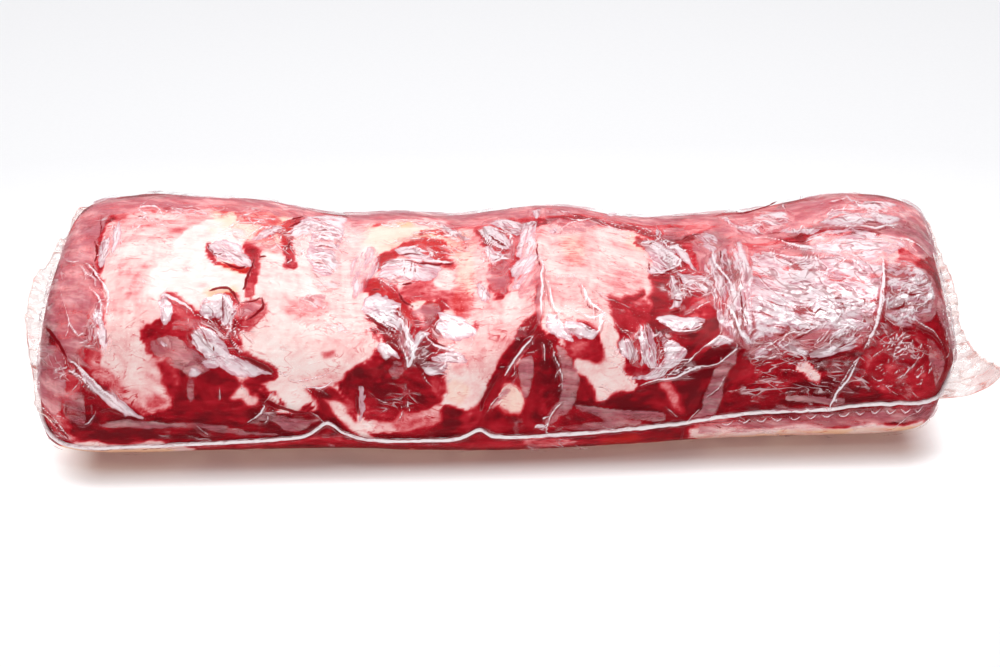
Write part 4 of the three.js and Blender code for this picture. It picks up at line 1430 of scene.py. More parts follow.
# Folds of the film, each as strong as the first number of its group.
# Each fold is also ruled as a white line, a painted highlight along its crest, with a painted shadow under
# it.
FOLDS = (
    *folds(
        2, (-228, 60, 5, -1, 8, -6, 25, -19), (-55, 81, 4, -14, 1, -5, 5, 14, 4, 4), (-57, 82, 2, 5, 2, 0,
        3, -8, 3, -4), (-43, 83, 5, -7, 8, -3, 4, -1), (24, 115, -2, -15, -2, -16), (25, 105, 2, -15, 3,
        -5), (42, 104, 3, -9, 4, -7, 6, -4), (55, 83, -4, 1, -1, -7, -4, -1), (17, 79, -13, -15, -5, -8),
        (122, 128, -1, -9, 4, -15, 0, -7), (115, 95, 5, -2, 3, -7, 3, -10, 5, -5, 3, 0), (69, 47, 10, 4, 12,
        2, 9, 5, 11, 0), (157, 126, 13, -9, 9, -5), (208, 104, -1, -7, -8, -22, -10, -17), (189, 58, -14,
        -22, -2, -6), (-179, 88, 3, 1, 11, -4, 5, -6), (-225, 107, 6, -3, 10, -11, 2, -7, -1, -9),
    ),
    *folds(
        1.3, (-227, 106, 5, -4, 7, -5), (-220, 95, 5, -4, 4, -5, 0, -7), (-235, 91, 9, -17, 5, -4), (-228,
        55, 6, -1, 10, -8), (-258, 37, 14, -3, 10, -6, 6, -10), (-198, 135, 5, 2, 8, -1, 4, -7), (-146, 90,
        3, -4, 3, -4), (-141, 82, -1, -6, -1, -5), (-127, 39, 2, 0, -4, -5, -7, -5), (-74, 93, 7, -4, 10,
        -6), (-74, 96, 12, -8, 5, -4), (-33, 93, 15, -7, 4, -7), (-62, 119, 21, 0, 22, 1), (-54, 124, 8, 2,
        10, -2, 6, -4), (-67, 111, 6, -4, 7, -7), (-2, 139, 7, -4, 6, -6), (-7, 137, 3, -7, 5, -4, 5, -2),
        (-2, 117, 6, 1, 5, 0), (-5, 127, 1, -5, 2, -6), (30, 92, 15, -8, 6, 0), (23, 74, 6, -18, 1, -10),
        (30, 41, -6, -7, -2, -7), (98, 148, -3, -13, 3, -5, 7, -2, 5, -5), (86, 133, 8, -4, 9, -6, -7, -3,
        -9, -3), (82, 88, 4, -2, 4, -5, 11, 0, 6, 3), (98, 57, 13, 2, 8, 5, 6, 5), (103, 69, 7, 4, 5, 3, 8,
        -7), (207, 97, -3, -13, -4, -9, -9, -16), (204, 76, 12, -1, 13, -5, 10, -6, 10, -12), (207, 120, 12,
        -3, 16, -1, 14, -5), (182, 127, 30, -4, 17, 4), (144, 67, 7, 6, 9, 0, 8, 3), (207, 144, 0, -7, 4,
        -4), (242, 159, 12, -1, 10, -6, 3, -21, 0, -19), (262, 97, 6, -19, 0, -21, -6, -12), (248, 104, 12,
        -30, 8, -21), (234, 99, 1, -7, 4, -5, -12, -7, -11, -5), (-106, 50, 9, -1, 9, 5), (144, 121, 16, -7,
        15, -5), (15, 25, 1, 3, 5, 0, 2, -3),
    ),
    *folds(
        0.8, (-239, 96, 5, -7), (-245, 115, 13, -7, 5, 0), (-207, 123, -1, -8), (-217, 119, 8, -3), (-198,
        135, 4, -3, 3, -3), (-239, 54, 6, 0, 5, -2), (-232, 65, 2, -6, 2, -2), (-221, 29, 4, 3, 4, 7),
        (-143, 71, 5, -5, 3, -4), (-132, 123, 5, 5, 8, 2), (-136, 133, 3, 4, 6, 3), (-127, 122, 7, 5, 6, 5),
        (-107, 142, 8, 0), (-155, 61, 4, 1, 5, -2), (-148, 49, 0, -8), (-125, 39, 7, -3, 10, -2), (-138, 51,
        3, -5, 6, -6), (-162, 30, 4, -5, 5, -6), (-115, 53, 11, 0, 16, 6), (-119, 56, 8, -2), (-103, 35, 6,
        -5, 7, -7), (-102, 141, 8, 4, 8, 1), (-101, 138, 8, 3, 9, 0), (-101, 134, 7, 3, 11, 0), (-100, 131,
        8, 3, 10, 0), (-101, 127, 7, 3, 8, 1), (-101, 124, 8, 2, 7, 2), (-101, 122, 8, 2, 6, 0), (-102, 118,
        7, 3, 7, 0), (-101, 116, 7, 2, 6, 0), (-100, 113, 6, 2, 4, 0), (-37, 83, 3, 4, 2, 2), (-38, 138, 4,
        -4, 5, -4), (-35, 137, 7, -3), (-50, 119, -1, -10), (-47, 119, -1, -9), (-45, 118, -1, -9), (-42,
        119, -1, -9), (-54, 96, 0, -7), (-62, 77, 6, -3, 2, -7), (-67, 70, 5, -3, 6, 0), (-32, 100, 3, -3,
        3, -3), (-33, 66, 7, 0, 6, 0), (-39, 58, 8, 2), (-43, 59, 2, -5, 3, -3), (-75, 50, 10, -7, 6, -2),
        (-55, 41, 1, -5, -3, -6), (-50, 51, -1, -11, 2, -5), (-8, 132, 4, -4, 4, -4), (-2, 125, 4, -5, 5,
        0), (6, 142, 7, -3), (40, 82, 4, -4, 4, -2), (15, 77, -6, -7, -7, -8), (5, 64, 0, -6, -3, -3), (10,
        69, 5, 0, 4, 1), (19, 74, 2, -5, 0, -7), (49, 49, 5, -2, 7, -3), (48, 40, 7, 2), (53, 62, 8, -4, 5,
        -9), (56, 84, 6, -5, 6, -4), (62, 80, 7, -2), (39, 141, 11, -2, 14, 9), (35, 129, 9, 7, 13, 5), (61,
        136, 11, -1, 9, 1), (60, 117, 9, 0, 7, -1), (82, 131, 6, 2, 7, 2), (86, 124, 7, 2, 7, -4), (95, 117,
        0, -8, 1, -9), (96, 90, 11, 5, 9, 3), (107, 100, 8, 2, 3, 3), (98, 106, 6, -3, 7, 0), (130, 71, 1,
        6, 5, 1), (135, 149, 1, -10, 7, -4), (139, 142, 6, -6, 7, 2), (142, 130, 10, -1, 10, -5), (96, 62,
        8, 7), (135, 64, 7, 5, 7, 3), (138, 60, 11, 3), (71, 54, 7, -2), (82, 69, 11, 0), (82, 60, 8, 0),
        (86, 56, 9, 3), (106, 36, 7, 5, 6, 12), (104, 31, -6, -6, -4, -3), (84, 35, 4, -5, 5, -4), (169,
        158, -1, -16), (173, 126, 23, -7), (219, 118, 13, -1, 12, -5, 16, 0), (187, 142, 9, 1, 9, 3), (208,
        139, 12, -3, 11, 3), (206, 130, 11, -1, 14, 2), (188, 57, -7, -8, -5, -10), (207, 84, -3, -7), (194,
        85, 3, -7), (204, 75, 7, -5), (217, 92, 6, -6, 11, 2), (218, 83, 15, 3), (162, 75, 11, 0, 11, -4, 9,
        -2), (145, 65, 10, 5), (173, 75, 5, 3, 3, 3), (168, 65, 5, 5), (180, 63, 8, 2), (193, 47, 5, -3, 4,
        1), (200, 43, 6, -4, 6, -4), (160, 52, 3, -5, 4, -6), (217, 41, 4, -5, 6, -4), (211, 11, 4, 7, 5, 5,
        7, 2), (170, 90, -5, -3, -3, -3), (172, 87, 2, -5, -4, -3), (212, 63, 8, 3), (202, 61, 7, 2), (195,
        56, 7, 3), (209, 57, 7, 3), (228, 61, 7, -4), (159, 134, 3, -4, 5, 2, 2, -4, 4, 3, 2, -5, 5, 2, 2,
        -3), (249, 133, 11, -4, 7, -12), (248, 123, 19, -4), (249, 85, 5, -12, 10, -17, -6, -15), (244, 73,
        7, -12, 0, -11), (-10, 34, 4, 7, 6, 5), (50, 26, 8, -3, 10, 0),
    ),
)

# Dark lines: juice in the creases of the film, with painted shade in them.
JUICE_AND_SHADE_LINES = (
    *folds(
        1.6, (216, 73, 19, -8, 11, -8, 2, -9, -4, -6, -8, -4), (-129, 42, 6, -1, 8, -4, 13, -3), (-137, 62,
        12, -4, 5, -3), (140, 150, 19, 5, 10, 8), (-3, 59, -7, -13, -3, -10), (-250, 77, 14, -7, 8, -10),
    ),
    *folds(
        1.1, (-221, 121, 3, -6, 0, -8), (-219, 107, 2, -6, 3, -3), (-228, 60, 5, -2, -1, -3, -5, -1), (-212,
        37, 7, 2, 7, -5), (-130, 113, -4, -16, -2, -4), (-128, 112, 4, 2), (-111, 137, 4, 4, 3, 2), (-112,
        125, 0, -5, -2, 1), (-155, 92, 12, 2, 6, -9), (-151, 82, 2, -4, 5, -6), (-139, 80, -1, -4, -2, -4),
        (-126, 90, 1, -4, -9, -7), (-144, 72, 3, -5, 4, -5), (-149, 107, 10, -3, 5, 2), (-74, 92, 14, -9, 3,
        -1), (-52, 106, 6, 1), (-55, 103, 4, -6, 5, -3), (-41, 79, 6, -3, 7, -3), (19, 84, -12, -14, -7,
        -10), (83, 117, 7, -1, 9, 5, 6, 0), (157, 127, 7, -4, 8, -1), (206, 79, 8, 0, 3, 3), (93, 100, 4,
        -2), (89, 92, 7, 2), (144, 72, 14, 2), (258, 45, 0, -6), (268, 98, 0, -10), (-242, 30, 8, -4, 5,
        -8), (127, 24, 4, -2), (-77, 47, 0, -14), (-3, 133, 5, -5, 5, -3), (190, 59, 4, 8, 8, 11),
    ),
    *folds(
        0.75, (-220, 135, 2, -12), (-198, 131, 7, -2), (-230, 42, 0, -9), (-218, 44, 5, 0), (-216, 42, 0,
        -7), (-220, 72, 3, -2), (-115, 130, 7, 6, 3, 2), (-116, 126, 4, 4), (-114, 116, 3, -6), (-143, 93,
        4, -4), (-147, 91, 1, -4, 0, -9), (-137, 87, 6, 1, 6, 2), (-152, 67, 1, -3), (-162, 29, 2, -5, 6,
        -5), (-156, 118, 2, -4, 4, -3, 6, -2), (-61, 118, 25, 0, 16, 2), (-54, 121, 8, 1, 10, -1), (-50,
        115, 0, -5), (-46, 118, 0, -8), (-44, 116, 0, -5), (-62, 82, 4, -2), (-62, 76, 5, 1), (-69, 104, 6,
        -1), (-36, 82, 1, 3), (1, 139, 5, -6, 7, -3), (24, 127, -2, -12, 1, -21), (43, 96, 3, -7, 7, -4),
        (42, 80, 5, -3), (85, 130, 6, 2), (81, 131, 3, -2), (85, 124, -1, -6), (98, 132, 16, 4, 4, 0), (130,
        106, -2, -15, 2, -13), (126, 126, -2, -7), (155, 131, 6, -1), (131, 67, 6, 2, 8, 1), (94, 22, 1,
        -15), (112, 21, 4, -3), (154, 116, 10, -7, 7, -1), (194, 123, 14, -2, 10, 2), (208, 101, -3, -12,
        -3, -11), (188, 59, -7, -9, -10, -18), (214, 87, 7, -2, 13, 1), (193, 87, 0, -7), (208, 137, 14, 2),
        (207, 126, 8, 0), (164, 80, 5, 4, 4, -5), (157, 75, 8, -2), (170, 65, 6, 4), (175, 62, 9, 3), (160,
        68, 8, -1), (149, 67, 8, 4, 8, 3), (252, 78, 8, -12), (242, 75, 7, -14), (-2, 118, 8, 0), (-100,
        132, 7, 3, 5, 0), (-99, 123, 7, 3, 5, -1), (-101, 114, 7, 2, 4, 0), (-30, 66, 6, 0),
    ),
    *folds(
        0.45, (-235, 89, 4, -6, 4, -8), (-222, 53, 0, -7), (-153, 114, 5, 1, 1, -3, -5, -1), (-155, 62, 3,
        0, 4, -1), (-44, 119, 2, -3), (-65, 74, 5, 1), (-32, 94, 3, -1), (-34, 63, 7, -2), (4, 123, 3, -2),
        (23, 75, 3, -9, 3, -10), (38, 88, 7, -5), (43, 48, 7, -1, 7, -3), (30, 40, -5, -6), (87, 128, 9, -3,
        6, -3), (94, 128, 7, -6), (113, 117, 1, -9), (139, 107, 9, 2), (206, 85, -2, -5), (200, 96, 3, -2),
        (226, 120, 17, 4), (-100, 139, 10, 4), (-100, 136, 13, 4), (-100, 129, 12, 3), (-101, 126, 11, 3),
        (-100, 120, 10, 3), (-100, 117, 10, 3), (-68, 108, 5, 0), (3, 62, -3, -7), (-15, 26, 2, -7), (-123,
        61, 7, -5),
    ),
)

# Grooves that draw in the film and the joint under it.
GROOVES = (
    Fold(((-217, 129), (-219, 116), (-218, 106)), -1.6),
    Fold(((-250, 74), (-236, 65), (-228, 59)), -1.8),
    Fold(((202, 74), (216, 71), (233, 65), (244, 56), (247, 44), (244, 33)), -2.2),
    Fold(((-12, 37), (-3, 55), (8, 70)), -1.8),
    Fold(((22, 71), (29, 50)), -1.0),
    Fold(((101, 28), (106, 40)), -1.4),
    Fold(((-86, 27), (-80, 39)), -1.4),
)
# Where many short folds lie together.
CLUSTERS = (
    # the rump
    Cluster((-209, 118), (8, 12), 14, 65, 7, 0.7),
    Cluster((-190, 128), (12, 7), 14, -15, 8, 0.6),
    Cluster((-126, 128), (19, 8), 22, 18, 9, 0.6),
    Cluster((-110, 125), (8, 13), 14, 60, 7, 0.6),
    Cluster((-144, 110), (11, 8), 12, -20, 8, 0.6),
    Cluster((-92, 124), (9, 17), 16, -8, 14, 0.8),
    Cluster((-99, 93), (8, 4), 10, 60, 3, 0.5),
    Cluster((-146, 73), (14, 13), 18, -30, 8, 0.6),
    Cluster((-216, 74), (7, 9), 12, 30, 6, 0.6),
    Cluster((-229, 53), (7, 6), 8, 10, 7, 0.6),
    # the saddle
    Cluster((-29, 130), (16, 10), 22, 4, 11, 0.7),
    Cluster((-54, 113), (13, 8), 14, -20, 8, 0.6),
    Cluster((-60, 86), (11, 8), 12, -25, 9, 0.7),
    Cluster((-38, 71), (13, 10), 18, 30, 8, 0.6),
    # the waist
    Cluster((3, 130), (8, 10), 10, -35, 8, 0.7),
    # the rib side
    Cluster((93, 125), (12, 9), 16, -15, 9, 0.7),
    Cluster((104, 107), (12, 11), 16, 10, 10, 0.7),
    Cluster((76, 72), (12, 10), 18, 70, 7, 0.6),
    Cluster((90, 59), (12, 8), 18, 8, 9, 0.7),
    # the loin
    Cluster((168, 84), (19, 8), 16, -45, 7, 0.6),
    Cluster((179, 68), (13, 7), 18, 28, 10, 0.6),
    Cluster((214, 57), (14, 12), 26, 30, 9, 0.6),
    Cluster((217, 83), (12, 9), 14, 35, 10, 0.7),
    Cluster((157, 114), (19, 8), 16, -6, 14, 0.5),
    # the top rim
    Cluster((206, 134), (20, 6), 16, 5, 12, 0.6),
    Cluster((151, 136), (14, 6), 12, -10, 9, 0.6),
    Cluster((67, 141), (22, 4), 12, -3, 14, 0.5),
    Cluster((-161, 136), (33, 4), 16, -3, 13, 0.5),
    Cluster((-39, 142), (28, 3), 12, -3, 13, 0.5),
    # bubbles at the right
    Cluster((200, 68), (14, 9), 30, 60, 3, 0.6),
    Cluster((214, 50), (20, 14), 34, 20, 4, 0.6),
    Cluster((150, 60), (26, 12), 26, 12, 10, 0.6),
    Cluster((160, 42), (40, 5), 12, 2, 12, 0.5),
    Cluster((178, 100), (34, 14), 18, -18, 14, 0.6),
    # the ends and their corners
    Cluster((-262, 96), (14, 26), 26, 55, 12, 0.6),
    Cluster((264, 90), (10, 34), 24, 84, 16, 0.7),
    Cluster((249, 67), (3, 17), 10, 80, 8, 0.6),
    Cluster((-237, 22), (8, 7), 10, -45, 7, 0.6),
)

# The sides that the photograph does not show: the back from a look of 165, the ends past 262 mm along.
HIDDEN_FAT = (
    Scatter((-235, 172), (245, 250), 17, (22, 70), 4, (0.62, 0.86)),
    Scatter((-235, 165), (245, 255), 26, (14, 46), 8, (0.36, 0.52)),
    Scatter((-235, 252), (245, 262), 9, (40, 90), 2, (0.72, 0.86)),
    Scatter((262, 20), (300, 300), 9, (16, 30), 80, (0.5, 0.8)),
    Scatter((-300, 150), (-262, 300), 7, (16, 30), 80, (0.5, 0.8)),
)
HIDDEN_VEINS = (
    Scatter((-235, -34), (240, 0), 14, (20, 60), 6, (0.3, 0.5)),
    Scatter((-235, 270), (240, 290), 14, (20, 60), 6, (0.3, 0.5)),
)
HIDDEN_WASHES = (
    Scatter((-235, 168), (245, 242), 15, (40, 120), 8, (0.34, 0.56)),
    Scatter((-225, 175), (235, 235), 8, (24, 60), -60, (0.38, 0.52)),
    Scatter((264, 20), (296, 300), 10, (16, 40), 84, (0.36, 0.56)),
    Scatter((-296, 150), (-264, 300), 8, (16, 40), 84, (0.36, 0.56)),
)
# Pockets of air on the hidden sides, in the same white of painted reflection as those in front.
HIDDEN_POCKETS_AND_SHEEN = (
    Scatter((-215, 178), (225, 226), 8, (24, 54), 14, (0.7, 0.92)),
    Scatter((-215, 178), (225, 232), 6, (18, 36), -50, (0.7, 0.92)),
    Scatter((268, 20), (290, 300), 5, (14, 26), 80, (0.66, 0.9)),
    Scatter((-290, 150), (-268, 300), 4, (14, 26), 80, (0.66, 0.9)),
)
HIDDEN_CLUSTERS = (
    Cluster((-170, 205), (30, 18), 26, 20, 12, 0.6),
    Cluster((-80, 190), (26, 14), 22, -10, 12, 0.6),
    Cluster((20, 212), (34, 16), 28, 8, 14, 0.6),
    Cluster((120, 192), (28, 16), 24, -18, 12, 0.6),
    Cluster((200, 214), (24, 16), 22, 30, 10, 0.6),
)
HIDDEN_FOLDS = (
    Scatter((-235, 168), (245, 240), 22, (26, 90), 12, (0.6, 1.2)),
    Scatter((-225, 175), (235, 235), 12, (26, 60), 72, (0.8, 1.4)),
    Scatter((266, 20), (300, 300), 26, (10, 34), 84, (0.6, 1.2)),
    Scatter((-300, 150), (-266, 300), 18, (10, 34), 84, (0.6, 1.2)),
    Scatter((-230, 262), (240, 290), 20, (16, 50), 10, (0.5, 0.9)),
)
# Dark lines on the hidden sides: juice and painted shade, as in front.
HIDDEN_JUICE_AND_SHADE_LINES = (
    Scatter((-230, 170), (240, 245), 22, (10, 34), 35, (0.5, 1.3)),
    Scatter((268, 20), (296, 300), 10, (10, 26), 84, (0.5, 1.2)),
)

# The front seam, in its distance along the joint and over the pack from the table.
FRONT_SEAM: Line = (
    (-247, 30), (-243, 22), (-235, 16), (-220, 14), (-197, 16), (-165, 17), (-134, 18), (-107, 21),
    (-93, 29), (-83, 23), (-68, 19), (-39, 20), (-24, 22), (-14, 27), (-5, 23), (23, 23),
    (71, 24), (98, 25), (131, 29), (163, 30), (196, 33), (228, 32), (240, 32), (247, 35), (250, 42),
    (251, 50),
)
SEAM_LOOK: Line = tuple((x, float(WALK.look_at(WALK.at_distance(d)))) for x, d in FRONT_SEAM)
SEAM_LINES = tuple(Fold(tuple((x, look + side) for x, look in SEAM_LOOK), 0.5) for side in (-2.0, 1.9))


def hem_loops(first: float = 118.0, last: float = 232.0, pitch: float = 9.0) -> Folds:
    """The small loops of film under the seam's right half: arcs 3.4 mm deep, one a pitch.

    Args:
        first: Where they start along the joint, in mm.
        last: Where they end.
        pitch: The way from one to the next.

    Returns:
        The loops.
    """
    middle = np.arange(first, last, pitch)
    seam = np.interp(middle, *np.array(SEAM_LOOK).T)
    ends = ((-3.8, -1.8), (0.0, -4.7), (3.8, -1.8))
    return tuple(Fold(as_line([(x + u, look + v) for u, v in ends]), 1.3) for x, look in zip(middle, seam))


def back_seam() -> Line:
    """The hidden seam: a gentle wave 30 mm over the table at the back, 4 mm high and 190 mm long.

    Returns:
        The line it runs along.
    """
    x = np.arange(-242, 243, 22)
    table = WALK.distance_at(np.array(3.0))
    return tuple(zip(x, table - 30 + 4 * np.sin(2 * np.pi * x / 190)))


# ---- Materials ----


class Operation(Enum):
    """What a Math node works out."""

    ADD = "ADD"
    SUBTRACT = "SUBTRACT"
    MULTIPLY = "MULTIPLY"
    POWER = "POWER"
    SIZE = "ABSOLUTE"
    LARGER = "MAXIMUM"
    SMALLER = "MINIMUM"


@dataclass(frozen=True)
class Value:
    """A number that nodes work out, which can be written in sums like any other number."""

    shading: "Shading"
    socket: Socket

    def __add__(self, other: "Amount") -> "Value":
        """This and the other together."""
        return self.shading.math(Operation.ADD, self, other)

    def __sub__(self, other: "Amount") -> "Value":
        """This less the other."""
        return self.shading.math(Operation.SUBTRACT, self, other)

    def __rsub__(self, other: "Amount") -> "Value":
        """The other less this."""
        return self.shading.math(Operation.SUBTRACT, other, self)

    def __mul__(self, other: "Amount") -> "Value":
        """This times the other."""
        return self.shading.math(Operation.MULTIPLY, self, other)

    def __pow__(self, power: float) -> "Value":
        """This to a power."""
        return self.shading.math(Operation.POWER, self, power)

    def __abs__(self) -> "Value":
        """This without its sign."""
        return self.shading.math(Operation.SIZE, self)

    def least(self, other: "Amount") -> "Value":
        """The smaller of this and the other."""
        return self.shading.math(Operation.SMALLER, self, other)

    def most(self, *others: "Amount") -> "Value":
        """The largest of this and the others.

        Args:
            others: The others.

        Returns:
            The largest.
        """
        found = self
        for other in others:
            found = self.shading.math(Operation.LARGER, found, other)
        return found

    def clamped(self) -> "Value":
        """This, held between 0 and 1."""
        return self.shading.value("Clamp", {"Value": self})

    def span(self, low: float, high: float, to: Place = (0.0, 1.0)) -> "Value":
        """The range from low to high laid smoothly over the two numbers of to."""
        inputs = {"Value": self, "From Min": low, "From Max": high, "To Min": to[0], "To Max": to[1]}
        return self.shading.value("MapRange", inputs, interpolation_type="SMOOTHSTEP")


Amount = Value | float
Stops = tuple[tuple[float, Colour], ...]
Key = str | int
Inputs = dict[Key, object]


class Shading:
    """A node tree, with short ways to add and join nodes."""

    def __init__(self, tree: bpy.types.NodeTree) -> None:
        """Starts from an empty tree."""
        self.tree = tree
        tree.nodes.clear()

    @classmethod
    def of_material(cls, name: str) -> tuple[Material, "Shading"]:
        """A new material with an empty tree.

        Args:
            name: The material's name.

        Returns:
            The material and its tree.
        """
        material = bpy.data.materials.new(name)
        material.use_nodes = True
        return material, cls(material.node_tree)

    def add(self, kind: str, inputs: Inputs | None = None, **settings: object) -> bpy.types.Node:
        """Adds a node.

        Args:
            kind: The node's type, without the prefix ShaderNode where that is all it lacks.
            inputs: For each socket its value, or the output that feeds it.
            settings: The node's own settings.

        Returns:
            The node.
        """
        node = self.tree.nodes.new(kind if kind.startswith("Node") else "ShaderNode" + kind)
        for key, value in settings.items():
            setattr(node, key, value)
        for key, value in (inputs or {}).items():
            value = value.socket if isinstance(value, Value) else value
            if isinstance(value, Socket):
                self.tree.links.new(value, node.inputs[key])
            else:
                node.inputs[key].default_value = value
        return node

    def out(self, kind: str, inputs: Inputs | None = None, output: Key = 0, **settings: object) -> Socket:
        """Adds a node, and gives one of its outputs."""
        return self.add(kind, inputs, **settings).outputs[output]

    def value(self, kind: str, inputs: Inputs | None = None, output: Key = 0, **settings: object) -> Value:
        """Adds a node, and gives one of its outputs as a number."""
        return Value(self, self.out(kind, inputs, output, **settings))

    def math(self, operation: Operation, *values: Amount) -> Value:
        """The result of a Math node."""
        return self.value("Math", dict(enumerate(values)), operation=operation.value)

    def field(self, name: str) -> Value:
        """A number that the piece's mesh carries."""
        return self.value("Attribute", output="Fac", attribute_name=name)

    def place(self) -> Socket:
        """Object coordinates."""
        return self.out("TexCoord", output="Object")

    def streak_place(self) -> Socket:
        """The place along and across the streaks that the piece's mesh carries, in metres."""
        return self.out("CombineXYZ", {0: self.field("run"), 1: self.field("cross")})

    def noise(
        self,
        scale: float,
        detail: float = 3.0,
        stretch: Colour = (1, 1, 1),
        place: Socket | None = None,
        turn: float = 0.0,
        **inputs: float,
    ) -> Value:
        """Noise of 0 to 1.

        Args:
            scale: The waves a metre.
            detail: The number of finer layers.
            stretch: What a Mapping node multiplies the place by.
            place: Where the noise is read, or None for Object coordinates.
            turn: Degrees that the place is turned by round its z axis, before the stretch.
            inputs: The noise's other values.

        Returns:
            The noise.
        """
        at = place or self.place()
        if turn:
            turned = {"Vector": at, "Angle": math.radians(turn)}
            at = self.out("VectorRotate", turned, rotation_type="Z_AXIS")
        at = self.out("Mapping", {"Vector": at, "Scale": stretch})
        return self.value("TexNoise", {"Vector": at, "Scale": scale, "Detail": detail} | inputs, "Fac")

    def ramp(self, value: Value, stops: Stops) -> Socket:
        """A colour for each value, blended between stops of (place, linear colour).

        Args:
            value: The value.
            stops: The stops, in order.

        Returns:
            The colour.
        """
        node = self.add("ValToRGB", {"Fac": value})
        elements = node.color_ramp.elements
        for place, colour in stops[1:-1]:
            elements.new(place).color = (*colour, 1)
        for element, (place, colour) in ((elements[0], stops[0]), (elements[len(stops) - 1], stops[-1])):
            element.position, element.color = place, (*colour, 1)
        return node.outputs["Color"]

    def mix(self, factor: Value, a: Socket | Colour, b: Socket | Colour) -> Socket:
        """Two colours blended: a where the factor is 0, and b where it is 1."""
        a, b = (c if isinstance(c, Socket) else (*c, 1) for c in (a, b))
        return self.out("Mix", {0: factor, 6: a, 7: b}, 2, data_type="RGBA")

    def bump(self, height: Value, strength: float, distance: float) -> Socket:
        """The normal that a height gives, in metres."""
        return self.out("Bump", {"Height": height, "Strength": strength, "Distance": distance})

    def glossed(self, amount: Value, milk: Socket, shine: Amount, bend: Amount, gloss: Inputs) -> None:
        """Ends the tree in a gloss over a mix of nothing and milk.

        Args:
            amount: The share of milk.
            milk: The milk's shader.
            shine: The share of the gloss that is kept.
            bend: How strongly light turns in the film.
            gloss: The gloss's roughness and normal. It is on the film's outer face alone.
        """
        clear = self.out("BsdfTransparent", {"Color": (1, 1, 1, 1)})
        body = self.out("MixShader", {0: amount, 1: clear, 2: milk})
        mirror = self.out("BsdfGlossy", {"Color": (1, 1, 1, 1)} | gloss)
        fresnel = self.value("Fresnel", {"IOR": bend, "Normal": gloss["Normal"]})
        outer = 1.0 - self.value("NewGeometry", output="Backfacing")
        self.finish(self.out("MixShader", {0: fresnel * outer * shine, 1: body, 2: mirror}))

    def finish(self, shader: Socket) -> None:
        """Ends the tree in the material's output."""
        self.add("OutputMaterial", {"Surface": shader})


def linear(*screen: int) -> Colour:
    """A screen colour of 0 to 255 as linear light: ((c + 0.055) / 1.055)^2.4 above 0.04045."""
    shares = (part / 255 for part in screen)
    return tuple(c / 12.92 if c <= 0.04045 else ((c + 0.055) / 1.055) ** 2.4 for c in shares)


class Effect:
    """A node group that several materials can use, built when it is first placed."""

    NAME: str
    TAKES: dict[str, str]
    GIVES: tuple[str, ...]

    @classmethod
    def wire(cls, s: Shading, *given: Socket) -> tuple[Value, ...]:
        """Works out what the group gives from what it takes."""
        raise NotImplementedError

    @classmethod
    def group(cls) -> bpy.types.NodeTree:
        """The group, built once.

        Returns:
            The group's tree.
        """
        tree = bpy.data.node_groups.get(cls.NAME)
        if tree is None:
            tree = bpy.data.node_groups.new(cls.NAME, "ShaderNodeTree")
            for name, kind in cls.TAKES.items():
                tree.interface.new_socket(name, in_out="INPUT", socket_type="NodeSocket" + kind)
            for name in cls.GIVES:
                tree.interface.new_socket(name, in_out="OUTPUT", socket_type="NodeSocketFloat")
            s = Shading(tree)
            given = s.add("NodeGroupInput").outputs
            found = cls.wire(s, *(given[name] for name in cls.TAKES))
            s.add("NodeGroupOutput", dict(zip(cls.GIVES, found)))
        return tree

    @classmethod
    def use(cls, s: Shading, inputs: Inputs) -> tuple[Value, ...]:
        """Puts the group in a tree, and gives its outputs."""
        node = s.add("Group", inputs, node_tree=cls.group())
        return tuple(Value(s, node.outputs[name]) for name in cls.GIVES)


class FilmCrinkle(Effect):
    """The crinkle of shrunk film, as a height and as facets that each have a level.

    Its ridges lie where the cells of a bent Voronoi pattern meet, so many cells a metre.
    """

    NAME = "film crinkle"
    TAKES = {"Scale": "Float"}
    GIVES = ("Height", "Facet")

    @classmethod
    def wire(cls, s: Shading, *given: Socket) -> tuple[Value, ...]:
        """Works out the height and the facets.

        Args:
            s: The group's tree.
            given: The scale.

        Returns:
            The height and the facets.
        """
        scale = Value(s, given[0])
        place = s.place()
        bent = s.out("TexNoise", {"Vector": place, "Scale": 90.0, "Detail": 1.0}, "Color")
        offset = s.out("VectorMath", {0: bent, "Scale": 0.016}, operation="SCALE")
        where = s.out("VectorMath", {0: place, 1: offset}, operation="ADD")
        broad = s.add("TexVoronoi", {"Vector": where, "Scale": scale, "Randomness": 1.0}).outputs
        wave = s.value("TexNoise", {"Vector": where, "Scale": scale * 2.2, "Detail": 2.0}, "Fac")
        return Value(s, broad["Distance"]) + wave, s.value("SeparateColor", {0: broad["Color"]})


class FilmWrinkles(Effect):
    """The fine wrinkles of slack film: thin light lines that are painted highlights, with dark lines of
    painted shade beside them.

    They are narrow bands round a level of bent noise, where the film is slack.
    """

    NAME = "film wrinkles"
    TAKES = {"Place": "Vector", "Slack": "Float"}
    GIVES = ("Light", "Dark")

    @classmethod
    def wire(cls, s: Shading, *given: Socket) -> tuple[Value, ...]:
        """Works out the light and the dark lines.

        Args:
            s: The group's tree.
            given: The place and the slack.

        Returns:
            The lines' strengths.
        """
        place, slack = given[0], Value(s, given[1])
        wave = s.noise(130.0, 2.0, (0.22, 1, 1), place, Roughness=0.5, Distortion=0.25) - 0.5
        cross = s.noise(110.0, 2.0, (0.3, 1, 1), place, 28.0, Roughness=0.45, Distortion=0.4) - 0.5
        room = (s.noise(55.0, 3.0) + slack * 0.36).span(0.68, 0.84)
        near = (abs(wave - level).least(abs(cross - level)) for level in (0.0, -0.034))
        return tuple(away.span(0.008, 0.02, (1.0, 0.0)) * room for away in near)


